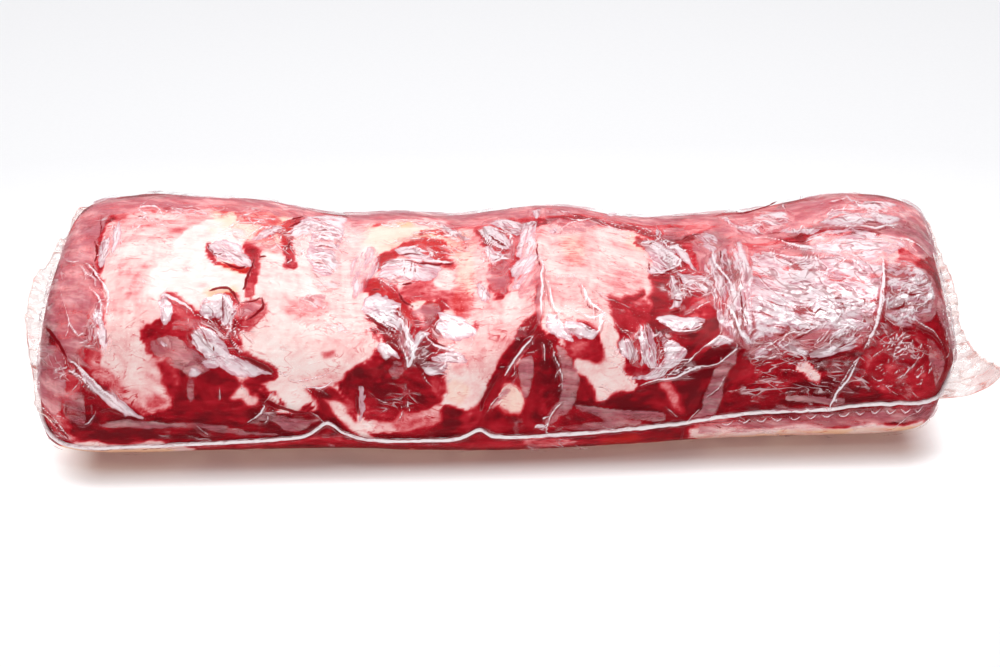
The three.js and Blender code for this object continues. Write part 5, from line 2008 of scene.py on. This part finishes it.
@dataclass(frozen=True)
class BeefFinish:
    """Wet lean meat and fat: the tone runs from deep lean at 0 to cream fat at 1."""

    tones: Stops = (
        (0.0, linear(96, 0, 10)),
        (0.14, linear(146, 4, 21)),
        (0.28, linear(176, 26, 40)),
        (0.42, linear(202, 82, 88)),
        (0.56, linear(220, 138, 140)),
        (0.7, linear(232, 180, 178)),
        (0.84, linear(238, 207, 203)),
        (1.0, linear(241, 224, 220)),
    )
    warm_tones: Stops = (
        (0.0, linear(205, 34, 10)),
        (0.5, linear(205, 34, 10)),
        (0.75, linear(240, 192, 156)),
        (1.0, linear(240, 192, 156)),
    )
    roughness: Place = (0.34, 0.54)
    wet: float = 0.06

    def material(self) -> Material:
        """Builds the material.

        Returns:
            The material.
        """
        material, s = Shading.of_material("beef and fat")
        tone = s.field("tone")
        blotch = s.noise(75.0, 5.0, Roughness=0.6, Distortion=0.8)
        fibre = s.noise(260.0, 4.0, (0.3, 1.0, 1.0), Distortion=0.5)
        speck = s.noise(900.0, 2.0)
        threads = abs(s.noise(105.0, 3.0, (0.5, 1.0, 1.0), Distortion=1.4) - 0.5)
        loose = tone.span(0.08, 0.4, (0.3, 0.85)) + tone.span(0.5, 0.85, (0.0, -0.35))
        vein = threads.span(0.0, 0.028, (-0.3, 0.0)) * blotch.span(0.42, 0.62) * tone.span(0.3, 0.5)
        streak = (fibre - 0.5) * 0.36 + vein + (speck - 0.5) * 0.14
        varied = (tone + (blotch - 0.52) * loose + streak).clamped()
        colour = s.mix(s.field("warm"), s.ramp(varied, self.tones), s.ramp(varied, self.warm_tones))
        inputs = {
            "Base Color": colour,
            "Roughness": speck.span(0.3, 0.7, self.roughness),
            "Normal": s.bump(fibre * 0.6 + blotch * 0.8, 0.35, 0.0008),
            "Specular IOR Level": self.wet,
        }
        s.finish(s.out("BsdfPrincipled", inputs))
        return material


@dataclass(frozen=True)
class FilmFinish:
    """Clear shrink film. Where air or thick juice lies under it, it is veiled mauve to lavender white. Its
    pockets' white is partly painted reflection, its white lines are painted highlights, and its dark lines
    are juice and painted shade.
    """

    mauve: Colour = linear(192, 112, 124)
    blush: Colour = linear(244, 196, 198)
    # The pockets, grey to pearl: milky air under the film, with a painted reflection in the pearl.
    grey: Colour = linear(206, 152, 166)
    pearl: Colour = linear(244, 233, 239)
    # The white lines: painted highlights along folds and wrinkles.
    lavender: Colour = linear(250, 243, 248)
    # The dark lines: juice in the creases, and painted shade.
    juice_and_shade_colour: Colour = linear(128, 0, 14)
    gloss: float = 0.08
    clinging: float = 1.36  # how strongly light turns in film that clings to wet beef
    loose: float = 1.8  # and where air lies under it
    calm: float = 0.1  # the share of the gloss that is left where the film lies smooth
    thin: float = 0.3  # the share of light that comes through the veil from behind
    edge: Place = (0.49, 0.56)  # from beside a line to its edge, in the fields of lines

    def lines(self, s: Shading, fray: Value) -> tuple[Value, Value]:
        """How strongly each place lies on a white line, a painted highlight, and on a dark one, which is
        painted shade with juice in the creases.

        Args:
            s: The material's tree.
            fray: How far the lines' edges are moved.

        Returns:
            The two strengths.
        """
        light, dark = FilmWrinkles.use(s, {"Place": s.streak_place(), "Slack": s.field("slack")})
        line, juice_and_shade_line, shade = ((s.field(name) + fray).span(*self.edge) for name in ("crest", "cut", "shade"))
        deep = (juice_and_shade_line * 0.97).most(shade.most(dark) * 0.55)
        return line.most(light * 0.65), deep * (1.0 - line)

    def material(self) -> Material:
        """Builds the material: gloss over a mix of nothing and veil.

        Returns:
            The material.
        """
        material, s = Shading.of_material("clear film")
        height, _ = FilmCrinkle.use(s, {"Scale": 120.0})
        tear = s.noise(420.0, 3.0, (0.6, 1.0, 1.0), Roughness=0.6) - 0.5
        bright, deep = self.lines(s, tear * 0.07)
        at = s.streak_place()
        long = s.noise(230.0, 3.0, (0.2, 1, 1), at, Roughness=0.6, Distortion=0.3) - 0.5
        short = s.noise(760.0, 3.0, (0.28, 1, 1), at, Roughness=0.6) - 0.5
        mixed = long + short * 0.55
        wash, haze = s.field("wash"), s.field("haze")
        thin = ((wash * 1.2 + mixed * 1.8) * wash.span(0.1, 0.3)).clamped()
        cover = s.field("veil_and_sheen") + tear * 0.2 + mixed * 0.5
        veil_and_sheen = cover.span(0.46, 0.54) * (haze + mixed * 1.9).span(0.42, 0.66, (0.12, 0.96))
        shades = s.noise(190.0, 3.0, (0.25, 1, 1), at, 12.0)
        tint = haze + shades * 2.0 + mixed * 1.8
        pearl = s.mix(cover.span(0.5, 0.8) * tint.span(1.5, 1.96), self.grey, self.pearl)
        faint = (shades - mixed * 0.7).span(0.4, 0.68)
        milky = s.mix(veil_and_sheen, s.mix(faint, self.mauve, self.blush), pearl)
        # White lines are painted highlights; dark lines are painted shade with juice in the creases.
        colour = s.mix(deep, s.mix(bright, milky, self.lavender), self.juice_and_shade_colour)
        bump = s.bump(height, 0.6, 0.0011)
        wet = deep.span(0.0, 1.0, (0.25, 0.0))
        inputs = {"Base Color": colour, "Roughness": 0.4, "Normal": bump, "Specular IOR Level": wet}
        front = s.out("BsdfPrincipled", inputs)
        behind = s.out("BsdfTranslucent", {"Color": colour})
        milk = s.out("MixShader", {0: self.thin, 1: front, 2: behind})
        shine = veil_and_sheen.most(bright).span(0.0, 1.0, (self.calm, 1.0)) * (1.0 - deep)
        bend = veil_and_sheen.span(0.0, 1.0, (self.clinging, self.loose))
        amount = veil_and_sheen.most(thin, bright, deep)
        s.glossed(amount, milk, shine, bend, {"Roughness": self.gloss, "Normal": bump})
        return material


@dataclass(frozen=True)
class WeldFinish:
    """The weld: two layers of film pressed to one milky white band."""

    colour: Colour = linear(232, 222, 224)
    shade: Colour = linear(206, 176, 184)

    def material(self) -> Material:
        """Builds the material: milky white, with faint darker spots where the weld is thin.

        Returns:
            The material.
        """
        material, s = Shading.of_material("welded film")
        thin = s.noise(500.0, 3.0, (0.4, 1.0, 1.0)).span(0.52, 0.72)
        crinkle, _ = FilmCrinkle.use(s, {"Scale": 300.0})
        colour = s.mix(thin, self.colour, self.shade)
        inputs = {"Base Color": colour, "Roughness": 0.28, "Normal": s.bump(crinkle, 0.4, 0.0005)}
        s.finish(s.out("BsdfPrincipled", inputs))
        return material


@dataclass(frozen=True)
class LooseFinish:
    """Film outside a weld: clear, with white creases and a white cut edge."""

    milk: Colour = linear(246, 220, 214)
    blush: Colour = linear(222, 140, 130)
    haze: float = 0.28
    bend: float = 1.7

    def material(self) -> Material:
        """Builds the material: gloss over a mix of nothing and milk that follows the creases.

        Returns:
            The material.
        """
        material, s = Shading.of_material("loose film")
        height, facet = FilmCrinkle.use(s, {"Scale": 150.0})
        tear = s.noise(500.0, 3.0) - 0.5
        line = (s.field("crest") + tear * 0.5).span(0.35, 0.95, (self.haze, 0.95))
        amount = line.most(facet.span(0.6, 0.75, (0.0, 0.22)))
        bump = s.bump(height, 0.6, 0.001)
        colour = s.mix(s.noise(60.0, 3.0).span(0.5, 0.7), self.milk, self.blush)
        milk = s.out("BsdfPrincipled", {"Base Color": colour, "Roughness": 0.3, "Normal": bump})
        s.glossed(amount, milk, 1.0, self.bend, {"Roughness": 0.1, "Normal": bump})
        return material


# ---- The pieces ----


@dataclass
class Beef:
    """The joint: one closed body of lean and fat just inside the film."""

    spacing: float = 1.3
    columns: int = 186
    seen: float = 160.0  # the look where the coarser columns of the hidden side start
    sunk: float = 0.7
    lumps: tuple[Place, ...] = ((26.0, 0.35), (9.0, 0.2))
    ragged: tuple[Place, ...] = ((13.0, 1.4), (4.5, 0.9))
    lean: float = 0.12
    cloud: float = 0.085
    seed: int = 8
    noise: LatticeNoise = LatticeNoise(11)

    def tone(self, canvas: Canvas, place: Array, edge: Array) -> Array:
        """Paints fat and lean: the big areas of fat, then strokes and small patches over them.

        Args:
            canvas: The grid.
            place: The grid's places in mm.
            edge: Noise that tears the edges.

        Returns:
            The tone.
        """
        tone = canvas.blank(self.lean)
        rng = np.random.default_rng(self.seed)
        canvas.fill(tone, TONE_GROUNDS, soft=5.0, grain=0.08, ragged=1.5 * edge)
        for scatter in HIDDEN_FAT:
            canvas.fill(tone, scatter.areas(rng, 0.42), soft=4.0, grain=0.14, ragged=2.2 * edge)
        canvas.paint(tone, TONES, grain=0.13, ragged=0.35 * edge)
        for scatter in HIDDEN_VEINS:
            canvas.fill(tone, scatter.areas(rng, 0.16), soft=4.0, grain=0.14, ragged=1.6 * edge)
        canvas.fill(tone, TONE_PATCHES, soft=3.2, grain=0.12, ragged=0.9 * edge)
        return tone + self.cloud * self.noise.layered(place * [0.7, 1.0, 1.0] + 500.0, 16.0)

    def warmth(self, canvas: Canvas, edge: Array) -> Array:
        """Paints where the meat is bright red and the fat is yellow.

        Args:
            canvas: The grid.
            edge: Noise that tears the edges.

        Returns:
            The warmth, from 0 to 1.
        """
        warm = canvas.blank()
        canvas.paint(warm, WARMTH, grain=0.0, ragged=0.35 * edge)
        canvas.fill(warm, WARM_PATCHES, soft=4.0, grain=0.15, ragged=edge)
        return warm

    def build(self, material: Material) -> Object:
        """Builds and paints the joint.

        Args:
            material: Its material.

        Returns:
            The piece.
        """
        visible = np.linspace(0, self.seen, int(self.columns * 0.7), endpoint=False)
        hidden = np.linspace(self.seen, WALK.look[-1], self.columns - len(visible), endpoint=False)
        grid = PackGrid(self.spacing, np.concatenate([visible, hidden]))
        canvas, place = grid.canvas, grid.skin.base
        canvas.warp(place, self.noise, self.ragged)
        edge = self.noise.layered(place + 150.0, 9.0)
        fields = {"tone": self.tone(canvas, place, edge), "warm": self.warmth(canvas, edge)}
        height = canvas.blank(-self.sunk)
        for size, depth in self.lumps:
            height += depth * self.noise(place, size)
        canvas.crease(height, GROOVES)
        points = FORM.lifted(grid.skin, height, floor=0.8)
        sheet = grid.sheet(points, grid.poles(-self.sunk), fields, np.arange(len(grid.looks)), around=True)
        return sheet.placed("beef", material)


@dataclass(frozen=True)
class FilmMarks:
    """What is laid down on the film: the lines of folds and cuts, pockets of air, and washes. Folds carry
    painted highlights and shade, cuts juice and painted shade, and pockets painted reflections.
    """

    folds: Folds
    juice_and_shade_lines: Folds
    pockets_and_sheen: Patches
    washes: Patches

    @classmethod
    def drawn(cls, rng: Rng, forked: float = 1.2) -> "FilmMarks":
        """Adds the seeded marks to those of the tables.

        Args:
            rng: Where the draws come from.
            forked: The least strength of a fold with branches.

        Returns:
            All the marks.
        """
        hidden = sum((scatter.lines(rng) for scatter in HIDDEN_FOLDS), ())
        hidden_juice_and_shade = sum((scatter.lines(rng) for scatter in HIDDEN_JUICE_AND_SHADE_LINES), ())
        pockets_and_sheen = sum((scatter.areas(rng, 0.26) for scatter in HIDDEN_POCKETS_AND_SHEEN), ())
        washes = sum((scatter.areas(rng, 0.3) for scatter in HIDDEN_WASHES), ())
        small = [fold for cluster in CLUSTERS + HIDDEN_CLUSTERS for fold in cluster.folds(rng)]
        forks = [fork for fold in FOLDS + hidden if fold.strength >= forked for fork in fold.forks(rng)]
        folds = (*FOLDS, *small, *forks, *hem_loops(), *hidden)
        return cls(folds, JUICE_AND_SHADE_LINES + hidden_juice_and_shade, POCKETS_AND_SHEEN + pockets_and_sheen, WASHES + washes)


@dataclass
class Film:
    """The clear bag shrunk on to the joint, in three sheets that share their edges."""

    spacing: float = 0.82
    step: float = 0.72
    back_step: float = 1.7
    crest: float = 156.0  # the look where the sheet over the top ends
    proud: float = 0.4
    waver: tuple[Place, ...] = ((9.0, 0.7), (3.5, 0.4))
    crinkle: tuple[Place, ...] = ((15.0, 0.5), (6.0, 0.3))
    tent: float = 0.6  # how far a pocket of air lifts the film
    slack: float = 0.3
    # Half widths of the painted highlights along the folds, of the painted shadow under them, and of the
    # dark lines in the creases and along the weld.
    fold_width: Place = (0.24, 0.26)
    shade_width: Place = (0.24, 0.22)
    shade_aside: float = 2.1
    juice_and_shade_width: Place = (0.1, 0.72)
    seam_width: Place = (0.1, 1.0)
    seed: int = 5
    noise: LatticeNoise = LatticeNoise(23)

    def relief(self, place: Array, folded: Array, cover: Cover) -> Array:
        """The film's height over the pack: its folds, its fine wrinkles and its pockets of air.

        Args:
            place: The grid's places in mm.
            folded: The height that the folds give.
            cover: The pockets.

        Returns:
            The height in mm. A wrinkle is depth * (1 - 2 * |noise|), with a crest where the noise is 0.
        """
        wrinkle = np.zeros_like(folded)
        for size, depth in self.crinkle:
            wrinkle += depth * (1 - 2 * np.abs(self.noise(place * [0.55, 1.0, 1.0], size)))
        return folded + wrinkle + smooth_step(1.6 * cover.depth - 0.6) * (self.tent + 0.3 * cover.streak)

    def lines(self, canvas: Canvas, marks: FilmMarks) -> dict[str, Array]:
        """The fields of white lines, which are painted highlights along the folds, of dark lines, which are
        juice and painted shade in the creases and the weld's dark edges, and of the painted shadow under
        each white line.

        Args:
            canvas: The grid.
            marks: What is laid down.

        Returns:
            The three fields.
        """
        fields = {key: canvas.blank() for key in ("crest", "cut", "shade")}
        canvas.rule(fields["crest"], marks.folds, self.fold_width)
        # The cut field holds the dark lines: juice and painted shade in the creases, and the weld's dark
        # edges.
        canvas.rule(fields["cut"], marks.juice_and_shade_lines, self.juice_and_shade_width)
        canvas.rule(fields["shade"], marks.folds, self.shade_width, aside=self.shade_aside)
        canvas.rule(fields["cut"], SEAM_LINES, self.seam_width)
        return fields

    def wash(self, canvas: Canvas, marks: FilmMarks, edge: Array) -> Array:
        """The field of thin juice and haze.

        Args:
            canvas: The grid.
            marks: What is laid down.
            edge: Noise that tears the edges.

        Returns:
            The field.
        """
        wash = canvas.blank()
        canvas.paint(wash, WASH_STROKES, grain=0.1, ragged=0.3 * edge)
        canvas.fill(wash, marks.washes, soft=2.6, grain=0.12, ragged=0.8 * edge)
        return wash

    def build(self, material: Material) -> list[Object]:
        """Builds the sheets: the front, the top, and the back with the underside.

        Args:
            material: Their material.

        Returns:
            The pieces.
        """
        front = np.arange(0, self.crest / 2, self.step)
        top = np.arange(front[-1] + self.step, self.crest + self.step, self.step)
        back = np.arange(top[-1] + self.back_step, WALK.look[-1] - 0.5, self.back_step)
        grid = PackGrid(self.spacing, np.concatenate([front, top, back]))
        canvas, place = grid.canvas, grid.skin.base
        marks = FilmMarks.drawn(np.random.default_rng(self.seed))
        folded = canvas.blank(self.proud)
        canvas.crease(folded, marks.folds + GROOVES)
        canvas.warp(place, self.noise, self.waver)
        edge = self.noise.layered(place + 150.0, 7.0)
        cover = canvas.cover(marks.pockets_and_sheen, 0.7 * edge)
        haze = cover.level * (1 + 0.1 * cover.streak) + 0.08 * self.noise.layered(place + 900.0, 5.0)
        fields = self.lines(canvas, marks) | {
            # the pockets of air, whose white also holds painted reflections
            "veil_and_sheen": cover.depth + 0.03 * cover.streak,
            "haze": clamp01(haze),
            "wash": self.wash(canvas, marks, edge),
            "slack": clamp01(canvas.slack(CLUSTERS + HIDDEN_CLUSTERS, self.slack) + 0.45 * cover.depth),
            "run": cover.run * MM,
            "cross": cover.cross * MM,
        }
        points = FORM.lifted(grid.skin, self.relief(place, folded, cover), floor=0.02)
        at_top, at_back, end = len(front), len(front) + len(top), len(grid.looks)
        spans = {
            "film_front": np.arange(0, at_top + 1),
            "film_top": np.arange(at_top, at_back + 1),
            "film_back": np.append(np.arange(at_back, end), 0),
        }
        pieces = []
        for name, columns in spans.items():
            sheet = grid.sheet(points, grid.poles(self.proud), fields, columns, around=False)
            pieces.append(sheet.placed(name, material))
            pieces[-1].visible_shadow = False  # clear film throws no shadow on what it clings to
        return pieces


@dataclass
class Seam:
    """A welded band that lies on the film, with a rounded face."""

    name: str
    through: Line
    width: float = 2.6
    proud: float = 1.2
    sunk: float = -0.8
    rings: int = 900
    waves: tuple[Place, ...] = ((11.0, 0.6), (5.0, 0.45))
    noise: LatticeNoise = LatticeNoise(31)

    def build(self, material: Material) -> Object:
        """Builds the band: its face stands proud * (1 - 0.5 v^2) over the pack, v across the band.

        Args:
            material: Its material.

        Returns:
            The piece.
        """
        path = spline(np.array(self.through, dtype=float), self.rings)
        face = np.linspace(-1, 1, 9)
        across = np.concatenate([face, [0.8, 0.0, -0.8]])
        rise = np.concatenate([self.proud * (1 - 0.5 * face**2), np.full(3, self.sunk)])
        run = path[:, :1] * np.ones(across.size)
        spots = np.stack([run, np.zeros_like(run), across * self.width / 2 + 0 * run], axis=-1)
        line = spots * [1, 1, 0]
        wobble = sum(high * self.noise(line + 30.0 * i, size) for i, (size, high) in enumerate(self.waves))
        width = self.width * (0.86 + 0.22 * self.noise(line + 90.0, 17.0))
        skin = FORM.over(run, path[:, 1:] + across * width / 2 + wobble)
        press = 0.16 * self.noise(spots + 50.0, 2.2) * (rise > 0)
        return Sheet.tube(FORM.lifted(skin, rise + press, floor=0.05)).placed(self.name, material)


class Side(Enum):
    """An end of the pack, with its direction along the joint."""

    LEFT = -1
    RIGHT = 1


@dataclass
class EndFlap:
    """Flat film outside an end weld: its root is in the pack, and its free edge is ruffled."""

    name: str
    side: Side
    up: Place  # where its root meets the end at the front and at the back, from -1 at the foot to 1
    edge: float  # how far the free edge stands out, in mm
    swell: float  # and how much more at mid-width
    ear: float  # and in the ear at the front
    ruffle: float
    pleats: float
    root: float = 20.0
    ear_share: float = 0.4
    ear_lift: float = 12.0
    thickness: float = 0.5
    noise: LatticeNoise = LatticeNoise(47)

    def build(self, material: Material) -> Object:
        """Builds the flap: it runs out from the pack's end, furthest at mid-width and in its ear.

        Args:
            material: Its material.

        Returns:
            The piece.
        """
        way = self.side.value
        share = np.linspace(0, 1, 300)[None, :]
        out = np.linspace(0.35, 1, 46)[:, None]
        at_ear = clamp01(1 - share / self.ear_share) ** 1.3
        standing = self.edge + self.swell * np.sin(np.pi * share) ** 3 + self.ear * at_ear
        v = 2 * share - 1
        skin = FORM.skin(np.full_like(share, way), 0.97 * v, blend(*self.up, share))
        points = np.repeat(FORM.lifted(skin, np.zeros_like(share)), out.size, axis=0)
        free = out**6
        points[..., 0] += way * (out * (standing + self.root) - self.root)
        points[..., 2] += self.ruffle * free * np.sin(2 * np.pi * self.pleats * share)
        if self.ear > 0:
            points[..., 2] += self.ear_lift * free * at_ear
        flat = points * [1, 1, 0]
        ridge = 1 - 2 * np.abs(self.noise(flat * [0.6, 1, 0], 11.0))
        fine = 1 - 2 * np.abs(self.noise(flat * [0.5, 1, 0] + 80.0, 5.0))
        points[..., 2] += (1.6 * ridge + 0.7 * fine) * out**3
        points[..., 0] += way * self.noise(flat * [0, 1, 0], 9.0) * 1.2 * free
        edges = np.maximum(smooth_step((out - 0.96) / 0.04), smooth_step((np.abs(v) - 0.985) / 0.015))
        crest = np.maximum(edges, clamp01(0.75 * ridge**5 * (ridge > 0) + 0.5 * fine**7 * (fine > 0)))
        sheet = Sheet.slab(points, self.thickness)
        sheet.fields = {"crest": np.tile(crest.ravel(), 2)}
        return sheet.placed(self.name, material)


# ---- The studio ----


@dataclass
class Studio:
    """The pale floor and walls, the soft lights and the camera, in metres."""

    target: Colour = (0.0, 0.0, 0.038)
    distance: float = 1.6
    elevation: float = 24.0
    azimuth: float = -3.2
    lens: float = 103.68
    shift: Place = (0.006, -0.0075)
    low: float = -0.0002
    foot: Place = (0.21, 0.085)  # from the middle of the pack's foot to its edges
    # how the table glows, by the way from the foot: a painted warm contact shadow at the foot, then a
    # painted glow that fills the lamps' shadow, then an even glow
    contact_shade_and_glow: Stops = (
        (0.006, (0.18, 0.1, 0.08)),
        (0.018, (0.46, 0.41, 0.4)),
        (0.03, (0.84, 0.82, 0.82)),
        (0.05, (0.84, 0.84, 0.84)),
        (0.075, (0.56, 0.56, 0.56)),
        (0.3, (0.43, 0.43, 0.44)),
    )
    table_tones: Stops = ((0.0, (0.38, 0.38, 0.385)), (1.0, (0.41, 0.41, 0.415)))

    def build(self) -> None:
        """Builds all of it."""
        self.camera()
        self.floor()
        self.lights()
        bpy.context.scene.view_settings.view_transform = "Standard"

    def camera(self) -> None:
        """Sets the camera at the photograph's angle."""
        e, a = math.radians(self.elevation), math.radians(self.azimuth)
        back = np.array([math.sin(a) * math.cos(e), -math.cos(a) * math.cos(e), math.sin(e)])
        data = bpy.data.cameras.new("camera")
        data.lens, data.sensor_width = self.lens, 36.0
        data.shift_x, data.shift_y = self.shift
        camera = bpy.data.objects.new("camera", data)
        camera.location = np.array(self.target) + self.distance * back
        camera.rotation_euler = (math.pi / 2 - e, 0.0, a)
        bpy.context.collection.objects.link(camera)
        bpy.context.scene.camera = camera

    def stage_plane(self, name: str, corners: tuple[Colour, ...], material: Material) -> None:
        """Adds a plane of the stage by its four corners.

        Args:
            name: Its name.
            corners: Its corners.
            material: Its material.
        """
        plane = Sheet(np.array(corners) / MM, [np.array([[0, 1, 2, 3]])]).to_object(name)
        plane.data.materials.append(material)
        plane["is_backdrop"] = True

    def floor(self) -> None:
        """Adds the white table and the white walls far behind it and beside it. The table's glow paints a
        contact shadow at the pack's foot and fills the shade round it with light.
        """
        table, s = Shading.of_material("white table")
        side = s.add("SeparateXYZ", {0: s.place()}).outputs
        past = [(abs(Value(s, side[i])) - half).most(0.0) for i, half in enumerate(self.foot)]
        inputs = {
            "Base Color": s.ramp(s.noise(300.0, 3.0), self.table_tones),
            "Roughness": 0.5,
            "Specular IOR Level": 0.2,
            # painted contact shadow and glow round the pack's foot
            "Emission Color": s.ramp((past[0] ** 2.0 + past[1] ** 2.0) ** 0.5, self.contact_shade_and_glow),
            "Emission Strength": 1.0,
        }
        s.finish(s.out("BsdfPrincipled", inputs))
        wall, s = Shading.of_material("bright wall")
        s.finish(s.out("Emission", {"Color": (0.98, 0.98, 1.0, 1), "Strength": 1.0}))
        low = self.low
        self.stage_plane("table", ((-5, -4, low), (5, -4, low), (5, 5, low), (-5, 5, low)), table)
        self.stage_plane("wall", ((-5, 3, low), (5, 3, low), (5, 3, 4), (-5, 3, 4)), wall)
        for name, x in (("wall_left", -4), ("wall_right", 4)):
            self.stage_plane(name, ((x, -1, low), (x, 3, low), (x, 3, 3), (x, -1, 3)), wall)

    def lights(self) -> None:
        """Adds a big soft box overhead, two smaller ones, a fill beside the camera and the room's light."""
        self.soft_box("overhead", (0.05, 0.3, 1.2), (0.0, 0.0, 0.05), (1.2, 0.5), 12.22)
        self.soft_box("high_right", (0.35, -0.75, 1.0), (0.05, 0.0, 0.05), (0.5, 0.2), 2.256)
        self.soft_box("high_left", (-0.45, -0.45, 1.15), (-0.05, 0.0, 0.05), (0.5, 0.2), 2.256)
        self.soft_box("fill", (-0.5, -1.9, 0.75), (0.0, 0.0, 0.04), (1.6, 0.8), 12.22)
        world = bpy.data.worlds.new("room")
        world.use_nodes = True
        background = world.node_tree.nodes["Background"]
        background.inputs["Color"].default_value = (1, 1, 1, 1)
        background.inputs["Strength"].default_value = 0.25
        bpy.context.scene.world = world

    def soft_box(self, name: str, place: Colour, aim: Colour, size: Place, power: float) -> None:
        """Adds a soft box that is turned to its aim, with its power in watts.

        Args:
            name: Its name.
            place: Where it stands.
            aim: What it is turned to.
            size: Its width and height.
            power: Its power.
        """
        data = bpy.data.lights.new(name, "AREA")
        data.shape, data.size, data.size_y, data.energy = "RECTANGLE", size[0], size[1], power
        light = bpy.data.objects.new(name, data)
        light.location = place
        way = np.array(aim) - np.array(place)
        way = way / np.linalg.norm(way)
        light.rotation_euler = (math.acos(-way[2]), 0.0, math.atan2(-way[0], way[1]))
        bpy.context.collection.objects.link(light)


def main() -> None:
    """Builds the pack and the studio in order."""
    logging.basicConfig(level=logging.INFO, format="%(name)s: %(message)s")
    weld, loose = WeldFinish().material(), LooseFinish().material()
    Beef().build(BeefFinish().material())
    Film().build(FilmFinish().material())
    Seam("seam_front", FRONT_SEAM).build(weld)
    Seam("seam_back", back_seam()).build(weld)
    EndFlap("end_flap_left", Side.LEFT, (-0.3, 0.9), 2, 14, ear=0, ruffle=2.5, pleats=5.5).build(loose)
    EndFlap("end_flap_right", Side.RIGHT, (-0.25, 0.45), 4, 5, ear=31, ruffle=1.6, pleats=3.5).build(loose)
    Studio().build()
    sizes = {"cad": CAD_BOUNDS, "visual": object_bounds()}
    {key: np.asarray(box).tolist() for key, box in sizes.items()}


if __name__ == "__main__":
    main()
